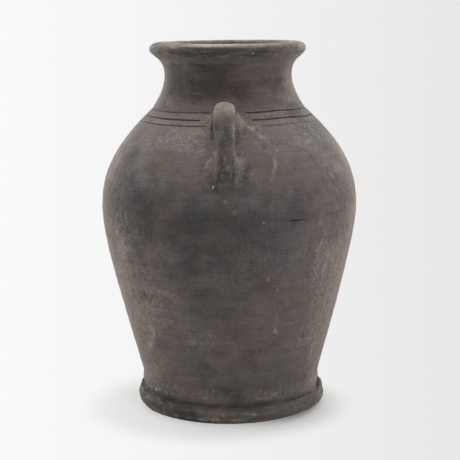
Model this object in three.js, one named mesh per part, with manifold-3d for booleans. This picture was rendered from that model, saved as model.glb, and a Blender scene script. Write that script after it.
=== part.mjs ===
// A two-handled earthenware vase, raised in sections: a floor slab, a lower wall, a shoulder
// wall, a neck collar and a rolled lip. A foot coil is wrapped round the base, and a small
// pulled strap handle is luted to the shoulder at the front and at the back, each with a wad
// of clay smeared round both of its roots.
// Millimetres, +Z up. The origin is the centre of the foot, at the level of the table.
import * as THREE from "three";
import { mergeVertices } from "three/addons/utils/BufferGeometryUtils.js";
import Module from "manifold-3d";

// Heights. Each is the rise of its own section, and the sections stack up to 380.
const FOOT_RECESS = 3; // the floor slab's underside above the table
const FLOOR_THICKNESS = 10;
const FOOT_HEIGHT = 21.3;
const WAIST_RISE = 16.2; // the upright band above the foot
const LOWER_RISE = 174.5; // the waist to the widest girth
const SHOULDER_RISE = 100.8; // the widest girth to the uppermost groove
const NECK_RISE = 32.7; // the uppermost groove to the narrowest neck
const FLARE_RISE = 18.5; // the narrowest neck to the underside of the lip
const LIP_HEIGHT = 16;

// Radii of the outside.
const WAIST_RADIUS = 92.4;
const BELLY_RADIUS = 132.2;
const NECK_RADIUS = 65.35;

// How far one form stands proud of the next.
const FOOT_PROUD = 6.1; // the foot, out from the waist
const FOOT_LAP = 18; // the foot, in under the slab
const FOOT_CURL = 14.5; // the foot's lower edge, in from its widest
const COLLAR_FLARE = 13.05; // the neck's root, out from the narrowest neck
const LIP_FLARE = 7.15; // the lip's seat, out from the narrowest neck
const LIP_PROUD = 14.85; // the lip, out from the narrowest neck
const LIP_WIDTH = 18.5; // the lip, from its widest in to the mouth
const LIP_ROUND = 6; // the lip's outer edge
const LIP_FACE = 2.2; // the lip's upright face, below that edge
const MOUTH_ROUND = 4; // the lip's inner edge

// Walls, and the gap that is left between two surfaces that don't meet on a flat.
const WALL_LOW = 9;
const WALL_HIGH = 7;
const CLEARANCE = 0.3;

// Incised lines on the shoulder. The uppermost runs along the joint of shoulder and neck.
const GROOVE_DROPS = [12.3, 6.6]; // below that joint
const GROOVE_WIDTH = 1.6;
const GROOVE_DEPTH = 1.2;

// Handles. The strap rises out of the shoulder, arches over and comes down to die in the wall.
const STRAP_THICKNESS = 10;
const CREST_WIDTH = 20.5;
const LEG_WIDTH = 15.5;
const ROOT_WIDTH = 22;
const FINGER_GROOVE = 1.2; // along the middle of the strap's outer face
const ARCH_DROP = 11.1; // the arch's centre below the neck's root
const FOOT_DROP = 65; // the strap's lower end below the neck's root
const STRAP_SINK = 7.2; // the strap's centre line inside the wall, level with the arch's centre
const STRAP_TAIL = 10; // how far the strap runs on, inside the wall, before it is trimmed
const UPPER_WAD_LAP = 9.75; // a wad, out past each side of the strap
const LOWER_WAD_LAP = 5;
const UPPER_WAD_LENGTH = 26;
const LOWER_WAD_LENGTH = 32;
const UPPER_WAD_THICKNESS = 3.5;
const LOWER_WAD_THICKNESS = 4.5;

// The bend of each curve: where its handles stand, as shares of its own rise and spread.
const LOWER_BEND = { lean: 0.609, rise: 0.51, crown: 0.171 };
const SHOULDER_BEND = { crown: 0.239, lean: 0.924, rise: 0.452 };
const NECK_BEND = 0.62;
const FLARE_BEND = 0.7;
const LIP_BEND = 0.75;
const FOOT_BEND = { widest: 0.59, curl: 0.66, under: 0.22, over: 0.82, top: 0.5 }; // shares of the foot
const LEG_WAIST = 0.35; // the strap's narrowest point, up from its lower end to the arch's centre
const STRAP_SQUARENESS = 2.6; // the power of the strap's rounded section, 2 for an ellipse

// Fineness.
const SEGMENTS = 48;
const CURVE_STEPS = 11;
const NECK_STEPS = 6;
const BORE_STEPS = 9;
const ROUND_STEPS = 3;
const STRAP_STATIONS = 28;
const STRAP_SIDES = 16;
const WAD_SIDES = 20;
const WAD_RINGS = 12;
const OUTLINE_STEPS = 80; // for reading the outline's radius at a height
const SLOPE_SPAN = 0.6; // the height over which the wall's lean is read

// Heights above the table, and radii from the axis.
const FLOOR_TOP = FOOT_RECESS + FLOOR_THICKNESS;
const WAIST_Z = FOOT_HEIGHT + WAIST_RISE;
const BELLY_Z = WAIST_Z + LOWER_RISE;
const COLLAR_Z = BELLY_Z + SHOULDER_RISE;
const NECK_Z = COLLAR_Z + NECK_RISE;
const LIP_Z = NECK_Z + FLARE_RISE;
const TOP_Z = LIP_Z + LIP_HEIGHT;
const COLLAR_RADIUS = NECK_RADIUS + COLLAR_FLARE;
const SEAT_RADIUS = NECK_RADIUS + LIP_FLARE;
const LIP_RADIUS = NECK_RADIUS + LIP_PROUD;
const MOUTH_RADIUS = LIP_RADIUS - LIP_WIDTH;

// The outline is drawn in a plane through the axis: x is the radius and y the height.
const at = (radius, height) => new THREE.Vector2(radius, height);

const lowerCurve = new THREE.CubicBezierCurve(
  at(WAIST_RADIUS, WAIST_Z),
  at(WAIST_RADIUS + LOWER_BEND.lean * (BELLY_RADIUS - WAIST_RADIUS), WAIST_Z + LOWER_BEND.rise * LOWER_RISE),
  at(BELLY_RADIUS, BELLY_Z - LOWER_BEND.crown * LOWER_RISE),
  at(BELLY_RADIUS, BELLY_Z),
);
const shoulderCurve = new THREE.CubicBezierCurve(
  at(BELLY_RADIUS, BELLY_Z),
  at(BELLY_RADIUS, BELLY_Z + SHOULDER_BEND.crown * SHOULDER_RISE),
  at(
    COLLAR_RADIUS + SHOULDER_BEND.lean * (BELLY_RADIUS - COLLAR_RADIUS),
    COLLAR_Z - SHOULDER_BEND.rise * SHOULDER_RISE,
  ),
  at(COLLAR_RADIUS, COLLAR_Z),
);
const neckCurve = new THREE.QuadraticBezierCurve(
  at(COLLAR_RADIUS, COLLAR_Z),
  at(NECK_RADIUS, COLLAR_Z + NECK_BEND * NECK_RISE),
  at(NECK_RADIUS, NECK_Z),
);
const flareCurve = new THREE.QuadraticBezierCurve(
  at(NECK_RADIUS, NECK_Z),
  at(NECK_RADIUS, NECK_Z + FLARE_BEND * FLARE_RISE),
  at(SEAT_RADIUS, LIP_Z),
);

// The outside of the turned wall from the table to the lip's seat, without its grooves.
const outline = [
  at(WAIST_RADIUS, 0),
  ...[lowerCurve, shoulderCurve, neckCurve, flareCurve].flatMap((curve) => curve.getPoints(OUTLINE_STEPS)),
];

// The outer radius of the wall at a height.
function outerRadius(height) {
  const above = outline.findIndex((point) => point.y >= height);
  if (above === 0) return outline[0].x;
  if (above < 0) return outline.at(-1).x;
  const [low, high] = [outline[above - 1], outline[above]];
  return THREE.MathUtils.mapLinear(height, low.y, high.y, low.x, high.x);
}

// The outward lean of the wall at a height: radius gained for each millimetre of rise.
function wallSlope(height) {
  const low = Math.max(height - SLOPE_SPAN / 2, 0);
  const high = Math.min(height + SLOPE_SPAN / 2, LIP_Z);
  return (outerRadius(high) - outerRadius(low)) / (high - low);
}

// The inner radius, which keeps the wall's thickness square to a leaning wall.
function innerRadius(height) {
  const wall = THREE.MathUtils.mapLinear(height, FLOOR_TOP, LIP_Z, WALL_LOW, WALL_HIGH);
  return outerRadius(height) - wall * Math.hypot(1, wallSlope(height));
}

// The bore of a section, from its top down to its bottom.
function bore(bottom, top) {
  const points = [];
  for (let i = 0; i <= BORE_STEPS; i++) {
    const height = THREE.MathUtils.lerp(top, bottom, i / BORE_STEPS);
    points.push(at(innerRadius(height), height));
  }
  return points;
}

// The lower edge, the bottom and the upper edge of a line scratched square into the wall.
function groove(height) {
  const slope = wallSlope(height);
  const length = Math.hypot(1, slope);
  const half = GROOVE_WIDTH / 2 / length;
  const bottom = at(outerRadius(height) - GROOVE_DEPTH / length, height + (GROOVE_DEPTH * slope) / length);
  const [low, high] = [height - half, height + half];
  return [at(outerRadius(low), low), bottom, at(outerRadius(high), high)];
}

// The groove along the shoulder's joint with the neck: each section carries half of it.
const jointSlope = Math.hypot(1, wallSlope(COLLAR_Z));
const JOINT_EDGE = GROOVE_WIDTH / 2 / jointSlope;
const jointBottom = at(COLLAR_RADIUS - GROOVE_DEPTH * jointSlope, COLLAR_Z);

// A solid of revolution. Its profile runs up the outside, in at the top and down the inside.
function turned(profile) {
  const closed = profile[0].x === 0 ? profile : [...profile, profile[0]];
  return new THREE.LatheGeometry(closed, SEGMENTS).rotateX(Math.PI / 2);
}

function floorSlab() {
  return turned([
    at(0, FOOT_RECESS),
    at(WAIST_RADIUS, FOOT_RECESS),
    at(WAIST_RADIUS, FLOOR_TOP),
    at(0, FLOOR_TOP),
  ]);
}

// The foot laps the slab's lower edge, which rests on it, and wraps the waist above.
function footRing() {
  const wide = WAIST_RADIUS + FOOT_PROUD;
  const inside = WAIST_RADIUS + CLEARANCE;
  const [stand, lap] = [wide - FOOT_CURL, WAIST_RADIUS - FOOT_LAP];
  const widest = at(wide, FOOT_HEIGHT * FOOT_BEND.widest);
  const below = new THREE.CubicBezierCurve(
    at(stand, 0),
    at(stand + FOOT_CURL * FOOT_BEND.curl, 0),
    at(wide, FOOT_HEIGHT * FOOT_BEND.under),
    widest,
  );
  const above = new THREE.CubicBezierCurve(
    widest,
    at(wide, FOOT_HEIGHT * FOOT_BEND.over),
    at(inside + FOOT_PROUD * FOOT_BEND.top, FOOT_HEIGHT),
    at(inside, FOOT_HEIGHT),
  );
  return turned([
    at(lap, 0),
    ...below.getPoints(NECK_STEPS),
    ...above.getPoints(NECK_STEPS).slice(1),
    at(inside, FOOT_RECESS),
    at(lap, FOOT_RECESS),
  ]);
}

function lowerWall() {
  return turned([
    at(WAIST_RADIUS, FLOOR_TOP),
    ...lowerCurve.getPoints(CURVE_STEPS),
    ...bore(FLOOR_TOP, BELLY_Z),
  ]);
}

function shoulderWall() {
  const grooves = GROOVE_DROPS.map((drop) => groove(COLLAR_Z - drop));
  const lowest = grooves[0][0].y - GROOVE_WIDTH;
  const outside = shoulderCurve.getPoints(CURVE_STEPS).filter((point) => point.y < lowest);
  const edge = COLLAR_Z - JOINT_EDGE;
  return turned([
    ...outside,
    ...grooves.flat(),
    at(outerRadius(edge), edge),
    jointBottom,
    ...bore(BELLY_Z, COLLAR_Z),
  ]);
}

function neckCollar() {
  const edge = COLLAR_Z + JOINT_EDGE;
  return turned([
    jointBottom,
    at(outerRadius(edge), edge),
    ...neckCurve.getPoints(NECK_STEPS).slice(1),
    ...flareCurve.getPoints(NECK_STEPS).slice(1),
    ...bore(COLLAR_Z, LIP_Z),
  ]);
}

function lipRoll() {
  const faceTop = TOP_Z - LIP_ROUND;
  const faceFoot = faceTop - LIP_FACE;
  const mouthEdge = MOUTH_RADIUS + MOUTH_ROUND;
  const path = new THREE.Path();
  path.moveTo(SEAT_RADIUS, LIP_Z);
  path.quadraticCurveTo(LIP_RADIUS, THREE.MathUtils.lerp(LIP_Z, faceFoot, LIP_BEND), LIP_RADIUS, faceFoot);
  path.lineTo(LIP_RADIUS, faceTop);
  path.absarc(LIP_RADIUS - LIP_ROUND, faceTop, LIP_ROUND, 0, Math.PI / 2);
  path.absarc(mouthEdge, TOP_Z - MOUTH_ROUND, MOUTH_ROUND, Math.PI / 2, Math.PI);
  path.lineTo(innerRadius(LIP_Z), LIP_Z);
  return turned(path.getPoints(ROUND_STEPS));
}

// Each handle stands in the plane of the axis. Its strap's outer face runs down to meet the
// wall at FOOT_DROP, and its arch spans from that leg back to the shoulder.
const archZ = COLLAR_Z - ARCH_DROP;
const strapFootZ = COLLAR_Z - FOOT_DROP;
const legRadius = outerRadius(strapFootZ) - STRAP_THICKNESS / 2;
const rootRadius = outerRadius(archZ) - STRAP_SINK;
const archRadius = (legRadius - rootRadius) / 2;

const spine = new THREE.Path();
spine.moveTo(rootRadius, archZ - STRAP_TAIL);
spine.lineTo(rootRadius, archZ);
spine.absarc(legRadius - archRadius, archZ, archRadius, Math.PI, 0, true);
spine.lineTo(legRadius, strapFootZ - STRAP_TAIL);

const crestZ = archZ + archRadius;
const crestShare = (STRAP_TAIL + (archRadius * Math.PI) / 2) / spine.getLength();
const legWaistZ = THREE.MathUtils.lerp(strapFootZ, archZ, LEG_WAIST);

// The strap narrows from its crest down the leg, and spreads again at its lower root.
function strapWidth(share, height) {
  if (share < crestShare) return CREST_WIDTH;
  const narrowed = THREE.MathUtils.smoothstep(crestZ - height, 0, crestZ - legWaistZ);
  const spread = THREE.MathUtils.smoothstep(legWaistZ - height, 0, legWaistZ - strapFootZ);
  const leg = THREE.MathUtils.lerp(CREST_WIDTH, LEG_WIDTH, narrowed);
  return THREE.MathUtils.lerp(leg, ROOT_WIDTH, spread);
}

// A number's power with its sign kept.
const signedPower = (value, power) => Math.sign(value) * Math.abs(value) ** power;

// One strap as a closed loft of rounded sections, grown all round by a margin. A cover carries
// its outer face further out, over whatever mustn't lie in front of the strap.
function strap(margin, cover = 0) {
  const positions = [];
  const indices = [];
  const power = 2 / STRAP_SQUARENESS;
  for (let i = 0; i <= STRAP_STATIONS; i++) {
    const share = i / STRAP_STATIONS;
    const centre = spine.getPointAt(share);
    const along = spine.getTangentAt(share);
    const half = strapWidth(share, centre.y) / 2 + margin;
    for (let k = 0; k < STRAP_SIDES; k++) {
      const turn = (2 * Math.PI * k) / STRAP_SIDES;
      const side = half * signedPower(Math.cos(turn), power);
      const outward = Math.max(Math.sin(turn), 0);
      const dip = FINGER_GROOVE * outward ** 4;
      const reach = STRAP_THICKNESS / 2 + margin + cover * outward;
      const out = reach * signedPower(Math.sin(turn), power) - dip;
      positions.push(side, -(centre.x - along.y * out), centre.y + along.x * out);
    }
  }
  for (let i = 0; i < STRAP_STATIONS; i++) {
    for (let k = 0; k < STRAP_SIDES; k++) {
      const next = (k + 1) % STRAP_SIDES;
      const [a, b] = [i * STRAP_SIDES + k, i * STRAP_SIDES + next];
      indices.push(a, b, a + STRAP_SIDES, b, b + STRAP_SIDES, a + STRAP_SIDES);
    }
  }
  for (const [share, ring] of [[0, 0], [1, STRAP_STATIONS]]) {
    const centre = spine.getPointAt(share);
    const hub = positions.length / 3;
    positions.push(0, -centre.x, centre.y);
    for (let k = 0; k < STRAP_SIDES; k++) {
      const rim = [ring * STRAP_SIDES + k, ring * STRAP_SIDES + ((k + 1) % STRAP_SIDES)];
      indices.push(hub, rim[1 - share], rim[share]);
    }
  }
  return new THREE.BufferGeometry()
    .setAttribute("position", new THREE.Float32BufferAttribute(positions, 3))
    .setIndex(indices);
}

// A lens of clay lying on the wall at a height, half of it below the surface.
function lens(height, width, length, thickness) {
  return new THREE.SphereGeometry(1, WAD_SIDES, WAD_RINGS)
    .scale(width / 2, thickness, length / 2)
    .rotateX(Math.atan(wallSlope(height)))
    .translate(0, -outerRadius(height), height);
}

// The height at which the strap's centre line leaves the shoulder.
function upperRootZ() {
  const points = spine.getSpacedPoints(OUTLINE_STEPS);
  return points.find((point) => point.x > outerRadius(point.y)).y;
}

// The height at which the leg's inner face meets the wall.
function lowerRootZ() {
  const face = legRadius - STRAP_THICKNESS / 2;
  return outline.find((point) => point.y > BELLY_Z && point.x < face).y;
}

const wasm = await Module();
wasm.setup();

// A closed geometry as a solid for cutting, with its shared vertices merged.
function solid(geometry) {
  const bare = geometry.clone();
  bare.deleteAttribute("normal");
  bare.deleteAttribute("uv");
  const merged = mergeVertices(bare);
  const corners = merged.index.array;
  const faces = [];
  for (let i = 0; i < corners.length; i += 3) {
    const [a, b, c] = corners.slice(i, i + 3);
    if (a !== b && b !== c && c !== a) faces.push(a, b, c);
  }
  const mesh = new wasm.Mesh({
    numProp: 3,
    vertProperties: new Float32Array(merged.attributes.position.array),
    triVerts: new Uint32Array(faces),
  });
  return new wasm.Manifold(mesh);
}

// What is left of a geometry when others are cut away from it.
function trimmed(geometry, ...cutters) {
  let left = solid(geometry);
  for (const cutter of cutters) left = left.subtract(cutter);
  const mesh = left.getMesh();
  const result = new THREE.BufferGeometry()
    .setAttribute("position", new THREE.BufferAttribute(mesh.vertProperties, 3))
    .setIndex(new THREE.BufferAttribute(mesh.triVerts, 1));
  result.computeVertexNormals();
  return result;
}

// The whole wall as one solid core, grown by the clearance, for trimming what is luted to it.
function wallCore() {
  const heights = [
    ...lowerCurve.getPoints(CURVE_STEPS),
    ...shoulderCurve.getPoints(CURVE_STEPS).slice(1),
    ...neckCurve.getPoints(NECK_STEPS).slice(1),
  ].map((point) => point.y);
  const outside = heights.map((height) => {
    const grown = CLEARANCE * Math.hypot(1, wallSlope(height));
    return at(outerRadius(height) + grown, height);
  });
  return solid(turned([at(0, heights[0]), ...outside, at(0, heights.at(-1))]));
}

// Clay, under a dark wash that lies thinner on the foot and on the handles.
const finishes = {
  floor: { color: 0x7a6a5e, roughness: 0.95 },
  foot: { color: 0x5d5854, roughness: 0.9 },
  wall: { color: 0x6b6560, roughness: 0.9 },
  shoulder: { color: 0x736c66, roughness: 0.9 },
  neck: { color: 0x605957, roughness: 0.88 },
  lip: { color: 0x6e6763, roughness: 0.86 },
  strap: { color: 0x6f6964, roughness: 0.88 },
  wad: { color: 0x77716b, roughness: 0.92 },
};

function piece(name, geometry, finish) {
  const mesh = new THREE.Mesh(geometry, new THREE.MeshStandardMaterial({ ...finish, metalness: 0 }));
  mesh.name = name;
  return mesh;
}

// The pieces of one handle, as they stand at the front.
function handle(side) {
  const core = wallCore();
  const grownStrap = solid(strap(CLEARANCE, STRAP_THICKNESS));
  const upperLens = lens(
    upperRootZ(),
    CREST_WIDTH + 2 * UPPER_WAD_LAP,
    UPPER_WAD_LENGTH,
    UPPER_WAD_THICKNESS,
  );
  const lowerLens = lens(
    lowerRootZ(),
    ROOT_WIDTH + 2 * LOWER_WAD_LAP,
    LOWER_WAD_LENGTH,
    LOWER_WAD_THICKNESS,
  );
  const group = new THREE.Group();
  group.add(
    piece(`handle_${side}`, trimmed(strap(0), core), finishes.strap),
    piece(`handle_${side}_upper_wad`, trimmed(upperLens, core, grownStrap), finishes.wad),
    piece(`handle_${side}_lower_wad`, trimmed(lowerLens, core, grownStrap), finishes.wad),
  );
  return group;
}

const vase = new THREE.Group();
vase.add(
  piece("base_disc", floorSlab(), finishes.floor),
  piece("foot_ring", footRing(), finishes.foot),
  piece("lower_wall", lowerWall(), finishes.wall),
  piece("shoulder_wall", shoulderWall(), finishes.shoulder),
  piece("neck_collar", neckCollar(), finishes.neck),
  piece("lip_roll", lipRoll(), finishes.lip),
);

const front = handle("front");
const back = handle("back");
back.rotation.z = Math.PI;
vase.add(front, back);

export default vase;
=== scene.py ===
"""A two-handled earthenware vase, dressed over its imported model.

The vessel is thrown in sections and washed with a thin dark slip. A Geometry Nodes tree turns
each section from its own profile, and the marks of hand and use are then pressed into it:
incised lines, thumbed clay round the handles, scuffs, chips and a hairline crack. Sizes are in
millimetres and become metres where a mesh is made. Angles run round the axis in degrees, from
the front (-Y) towards +X.
"""

from __future__ import annotations

import logging
import math
from dataclasses import dataclass, field
from enum import Enum
from functools import partial
from typing import NamedTuple

import bpy
import numpy as np
from bpy.types import ID, Material, Mesh, Node, NodeSocket, NodeTree, Object
from mathutils import Matrix, Vector
from mathutils.bvhtree import BVHTree


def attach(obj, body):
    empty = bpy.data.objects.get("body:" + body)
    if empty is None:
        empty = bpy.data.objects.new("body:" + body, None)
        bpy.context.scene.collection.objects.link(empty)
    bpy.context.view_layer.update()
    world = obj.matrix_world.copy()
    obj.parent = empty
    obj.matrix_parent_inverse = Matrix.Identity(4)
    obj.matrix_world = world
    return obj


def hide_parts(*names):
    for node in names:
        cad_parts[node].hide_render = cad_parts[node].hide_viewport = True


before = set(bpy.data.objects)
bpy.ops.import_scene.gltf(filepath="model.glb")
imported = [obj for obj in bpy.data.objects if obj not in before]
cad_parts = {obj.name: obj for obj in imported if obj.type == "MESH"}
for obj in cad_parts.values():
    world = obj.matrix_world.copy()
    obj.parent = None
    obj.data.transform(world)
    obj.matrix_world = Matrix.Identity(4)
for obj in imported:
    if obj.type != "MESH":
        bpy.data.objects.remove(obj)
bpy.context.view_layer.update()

LOG = logging.getLogger("vase")
MM = 0.001
BODY = "root"
TONES = "tones"
WARMTH = "warmth"
Array = np.ndarray


class Tone(Enum):
    """What a mark does to the colour. The value is its channel in the tone attribute."""

    # Smoke and dark wash, and painted shade on the flanks, on the foot's left and on the straps' sides.
    CHAR = 0
    TAN = 1
    DUST = 2
    # Dark with the dirt colour: dirt in pits and the crack, and painted shade in the incised lines, the
    # foot's crease, under the lip and beside and under the straps.
    HOLLOW = 3


class Side(Enum):
    """Where a handle stands, as its angle round the axis."""

    FRONT = 0
    BACK = 180

    @property
    def sign(self) -> int:
        """1 at the front, -1 at the back."""
        return 1 if self is Side.FRONT else -1


class Root(Enum):
    """Which of a strap's two roots a wad of clay surrounds."""

    UPPER = "upper"
    LOWER = "lower"


class Blend(Enum):
    """How a layer of colour meets what lies under it."""

    COVER = "MIX"
    TINT = "COLOR"


class Sums(Enum):
    """What a row of arithmetic nodes works on."""

    NUMBERS = "ShaderNodeMath"
    VECTORS = "ShaderNodeVectorMath"


# Small helpers for fields over the surface.


def smooth(value: Array, low: float, high: float) -> Array:
    """Rises smoothly from 0 at low to 1 at high."""
    share = np.clip((value - low) / (high - low), 0, 1)
    return share * share * (3 - 2 * share)


def between(value: Array, low: float, full: float, fading: float, gone: float) -> Array:
    """Rises smoothly from 0 at low to 1 at full, and falls again from fading to gone."""
    return smooth(value, low, full) * (1 - smooth(value, fading, gone))


def bell(value: Array, width: float) -> Array:
    """A bell of height 1 that has fallen to 0.37 at width."""
    return np.exp(-((value / width) ** 2))


def apart(angle: Array, other: float) -> Array:
    """The signed difference of two angles, from -180 to 180 degrees."""
    return (angle - other + 180) % 360 - 180


def from_axis(points: Array) -> Array:
    """How far each point lies from the vessel's axis."""
    return np.hypot(points[:, 0], points[:, 1])


def no_tones(count: int) -> tuple:
    """Tones of 0 for a number of points: all of them, then each channel in the order of Tone."""
    found = np.zeros((count, len(Tone)))
    return found, *found.T


class Waves:
    """A smooth random field over space: a sum of sine waves drawn with a fixed seed."""

    def __init__(self, seed: int, size: float, stretch: tuple = (1, 1, 1), count: int = 26) -> None:
        """Draws the waves.

        Args:
            seed: the seed of the draw.
            size: the typical length of a wave, in mm.
            stretch: how much longer the waves are along each axis.
            count: how many waves are added up.
        """
        draw = np.random.default_rng(seed)
        ways = draw.normal(size=(count, 3))
        ways /= np.linalg.norm(ways, axis=1)[:, None]
        lengths = size * draw.uniform(0.6, 1.7, count)
        self.ways = 2 * np.pi * ways / lengths[:, None] / np.array(stretch)
        self.phases = draw.uniform(0, 2 * np.pi, count)

    def __call__(self, points: Array) -> Array:
        """The field's value at points in mm, mostly from -1 to 1."""
        total = sum(np.sin(points @ way + phase) for way, phase in zip(self.ways, self.phases))
        return total / math.sqrt(len(self.phases))


# The turned form.


def bezier(*controls: tuple, count: int = 160) -> Array:
    """Points on a Bezier curve.

    Args:
        controls: its three or four control points.
        count: how many points it gets.

    Returns:
        The points, from the first control to the last.
    """
    t = np.linspace(0, 1, count)[:, None]
    order = len(controls) - 1
    return sum(
        math.comb(order, i) * t**i * (1 - t) ** (order - i) * np.array(c, float)
        for i, c in enumerate(controls)
    )


def square_to(line: Array) -> Array:
    """The direction square to a section's line at each of its points, outward where it rises."""
    way = np.gradient(line, axis=0)
    return np.stack([way[:, 1], -way[:, 0]], -1) / np.linalg.norm(way, axis=1)[:, None]


@dataclass
class Outline:
    """The thrown wall, as a radius for each height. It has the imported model's own sizes."""

    waist_radius: float = 92.4
    belly_radius: float = 132.2
    collar_radius: float = 78.4
    neck_radius: float = 65.35
    seat_radius: float = 72.5
    floor_z: float = 13.0
    waist_z: float = 37.5
    belly_z: float = 212.0
    collar_z: float = 312.8
    neck_z: float = 345.5
    seat_z: float = 364.0
    wall_low: float = 9.0
    wall_high: float = 7.0
    table: Array = field(init=False)
    lengths: Array = field(init=False)

    def __post_init__(self) -> None:
        """Tabulates the outline from its curves."""
        swell, rise = self.belly_radius - self.waist_radius, self.belly_z - self.waist_z
        fall, climb = self.belly_radius - self.collar_radius, self.collar_z - self.belly_z
        neck, flare = self.neck_z - self.collar_z, self.seat_z - self.neck_z
        waist, belly = (self.waist_radius, self.waist_z), (self.belly_radius, self.belly_z)
        collar, throat = (self.collar_radius, self.collar_z), (self.neck_radius, self.neck_z)
        seat = (self.seat_radius, self.seat_z)
        low = (self.waist_radius + 0.609 * swell, self.waist_z + 0.51 * rise)
        high = (self.collar_radius + 0.924 * fall, self.collar_z - 0.452 * climb)
        curves = [
            bezier(waist, low, (self.belly_radius, self.belly_z - 0.171 * rise), belly),
            bezier(belly, (self.belly_radius, self.belly_z + 0.239 * climb), high, collar)[1:],
            bezier(collar, (self.neck_radius, self.collar_z + 0.62 * neck), throat)[1:],
            bezier(throat, (self.neck_radius, self.neck_z + 0.7 * flare), seat)[1:],
        ]
        self.table = np.vstack([[(self.waist_radius, 0.0)], *curves])
        steps = np.hypot(*np.diff(self.table, axis=0).T)
        self.lengths = np.concatenate([[0], np.cumsum(steps)])

    def radius(self, height: Array) -> Array:
        """The outer radius at a height."""
        return np.interp(height, self.table[:, 1], self.table[:, 0])

    def slope(self, height: Array) -> Array:
        """Radius gained for each millimetre of rise."""
        low, high = np.maximum(height - 0.4, 0), np.minimum(height + 0.4, self.seat_z)
        return (self.radius(high) - self.radius(low)) / (high - low)

    def normal(self, height: Array) -> Array:
        """The outward direction at a height, as (radius, height)."""
        slope = self.slope(height)
        return np.stack([np.ones_like(slope), -slope], -1) / np.hypot(1, slope)[..., None]

    def bore(self, height: Array) -> Array:
        """The inner radius at a height, for a wall of even thickness square to its lean."""
        wall = np.interp(height, (self.floor_z, self.seat_z), (self.wall_low, self.wall_high))
        return self.radius(height) - wall * np.hypot(1, self.slope(height))

    def heights(self, low: float, high: float, step: float) -> Array:
        """Heights that lie evenly along the outline.

        Args:
            low: the first height.
            high: the last height.
            step: the distance between them along the outline.

        Returns:
            The heights, with both ends.
        """
        ends = np.interp([low, high], self.table[:, 1], self.lengths)
        count = max(2, round((ends[1] - ends[0]) / step) + 1)
        found = np.interp(np.linspace(*ends, count), self.lengths, self.table[:, 1])
        found[0], found[-1] = low, high
        return found


# Marks of the hand and of use.


@dataclass(frozen=True)
class Mark:
    """One short stroke on the surface.

    Its tilt turns it from level towards upright. A positive depth is pressed in.
    """

    angle: float
    height: float
    length: float
    width: float
    tilt: float
    depth: float
    tone: Tone
    strength: float


@dataclass(frozen=True)
class IncisedLine:
    """A line scratched round the shoulder, which stops at the clay round each handle.

    The front and back pairs are the angles at which it stops, from the handle's middle, and
    left and right are its strength on each side of the front handle.
    """

    height: float
    depth: float
    front: tuple
    back: tuple
    left: float
    right: float
    blunt: float = 3.0


INCISED = (
    IncisedLine(312.8, 1.15, (-10, 13), (-15, 12), 0.8, 0.85),
    IncisedLine(306.2, 1.45, (-16, 16), (-17, 15), 1.1, 1.0, 1.2),
    IncisedLine(300.5, 1.1, (-9, 20), (-19, 16), 0.85, 0.5),
)

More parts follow.
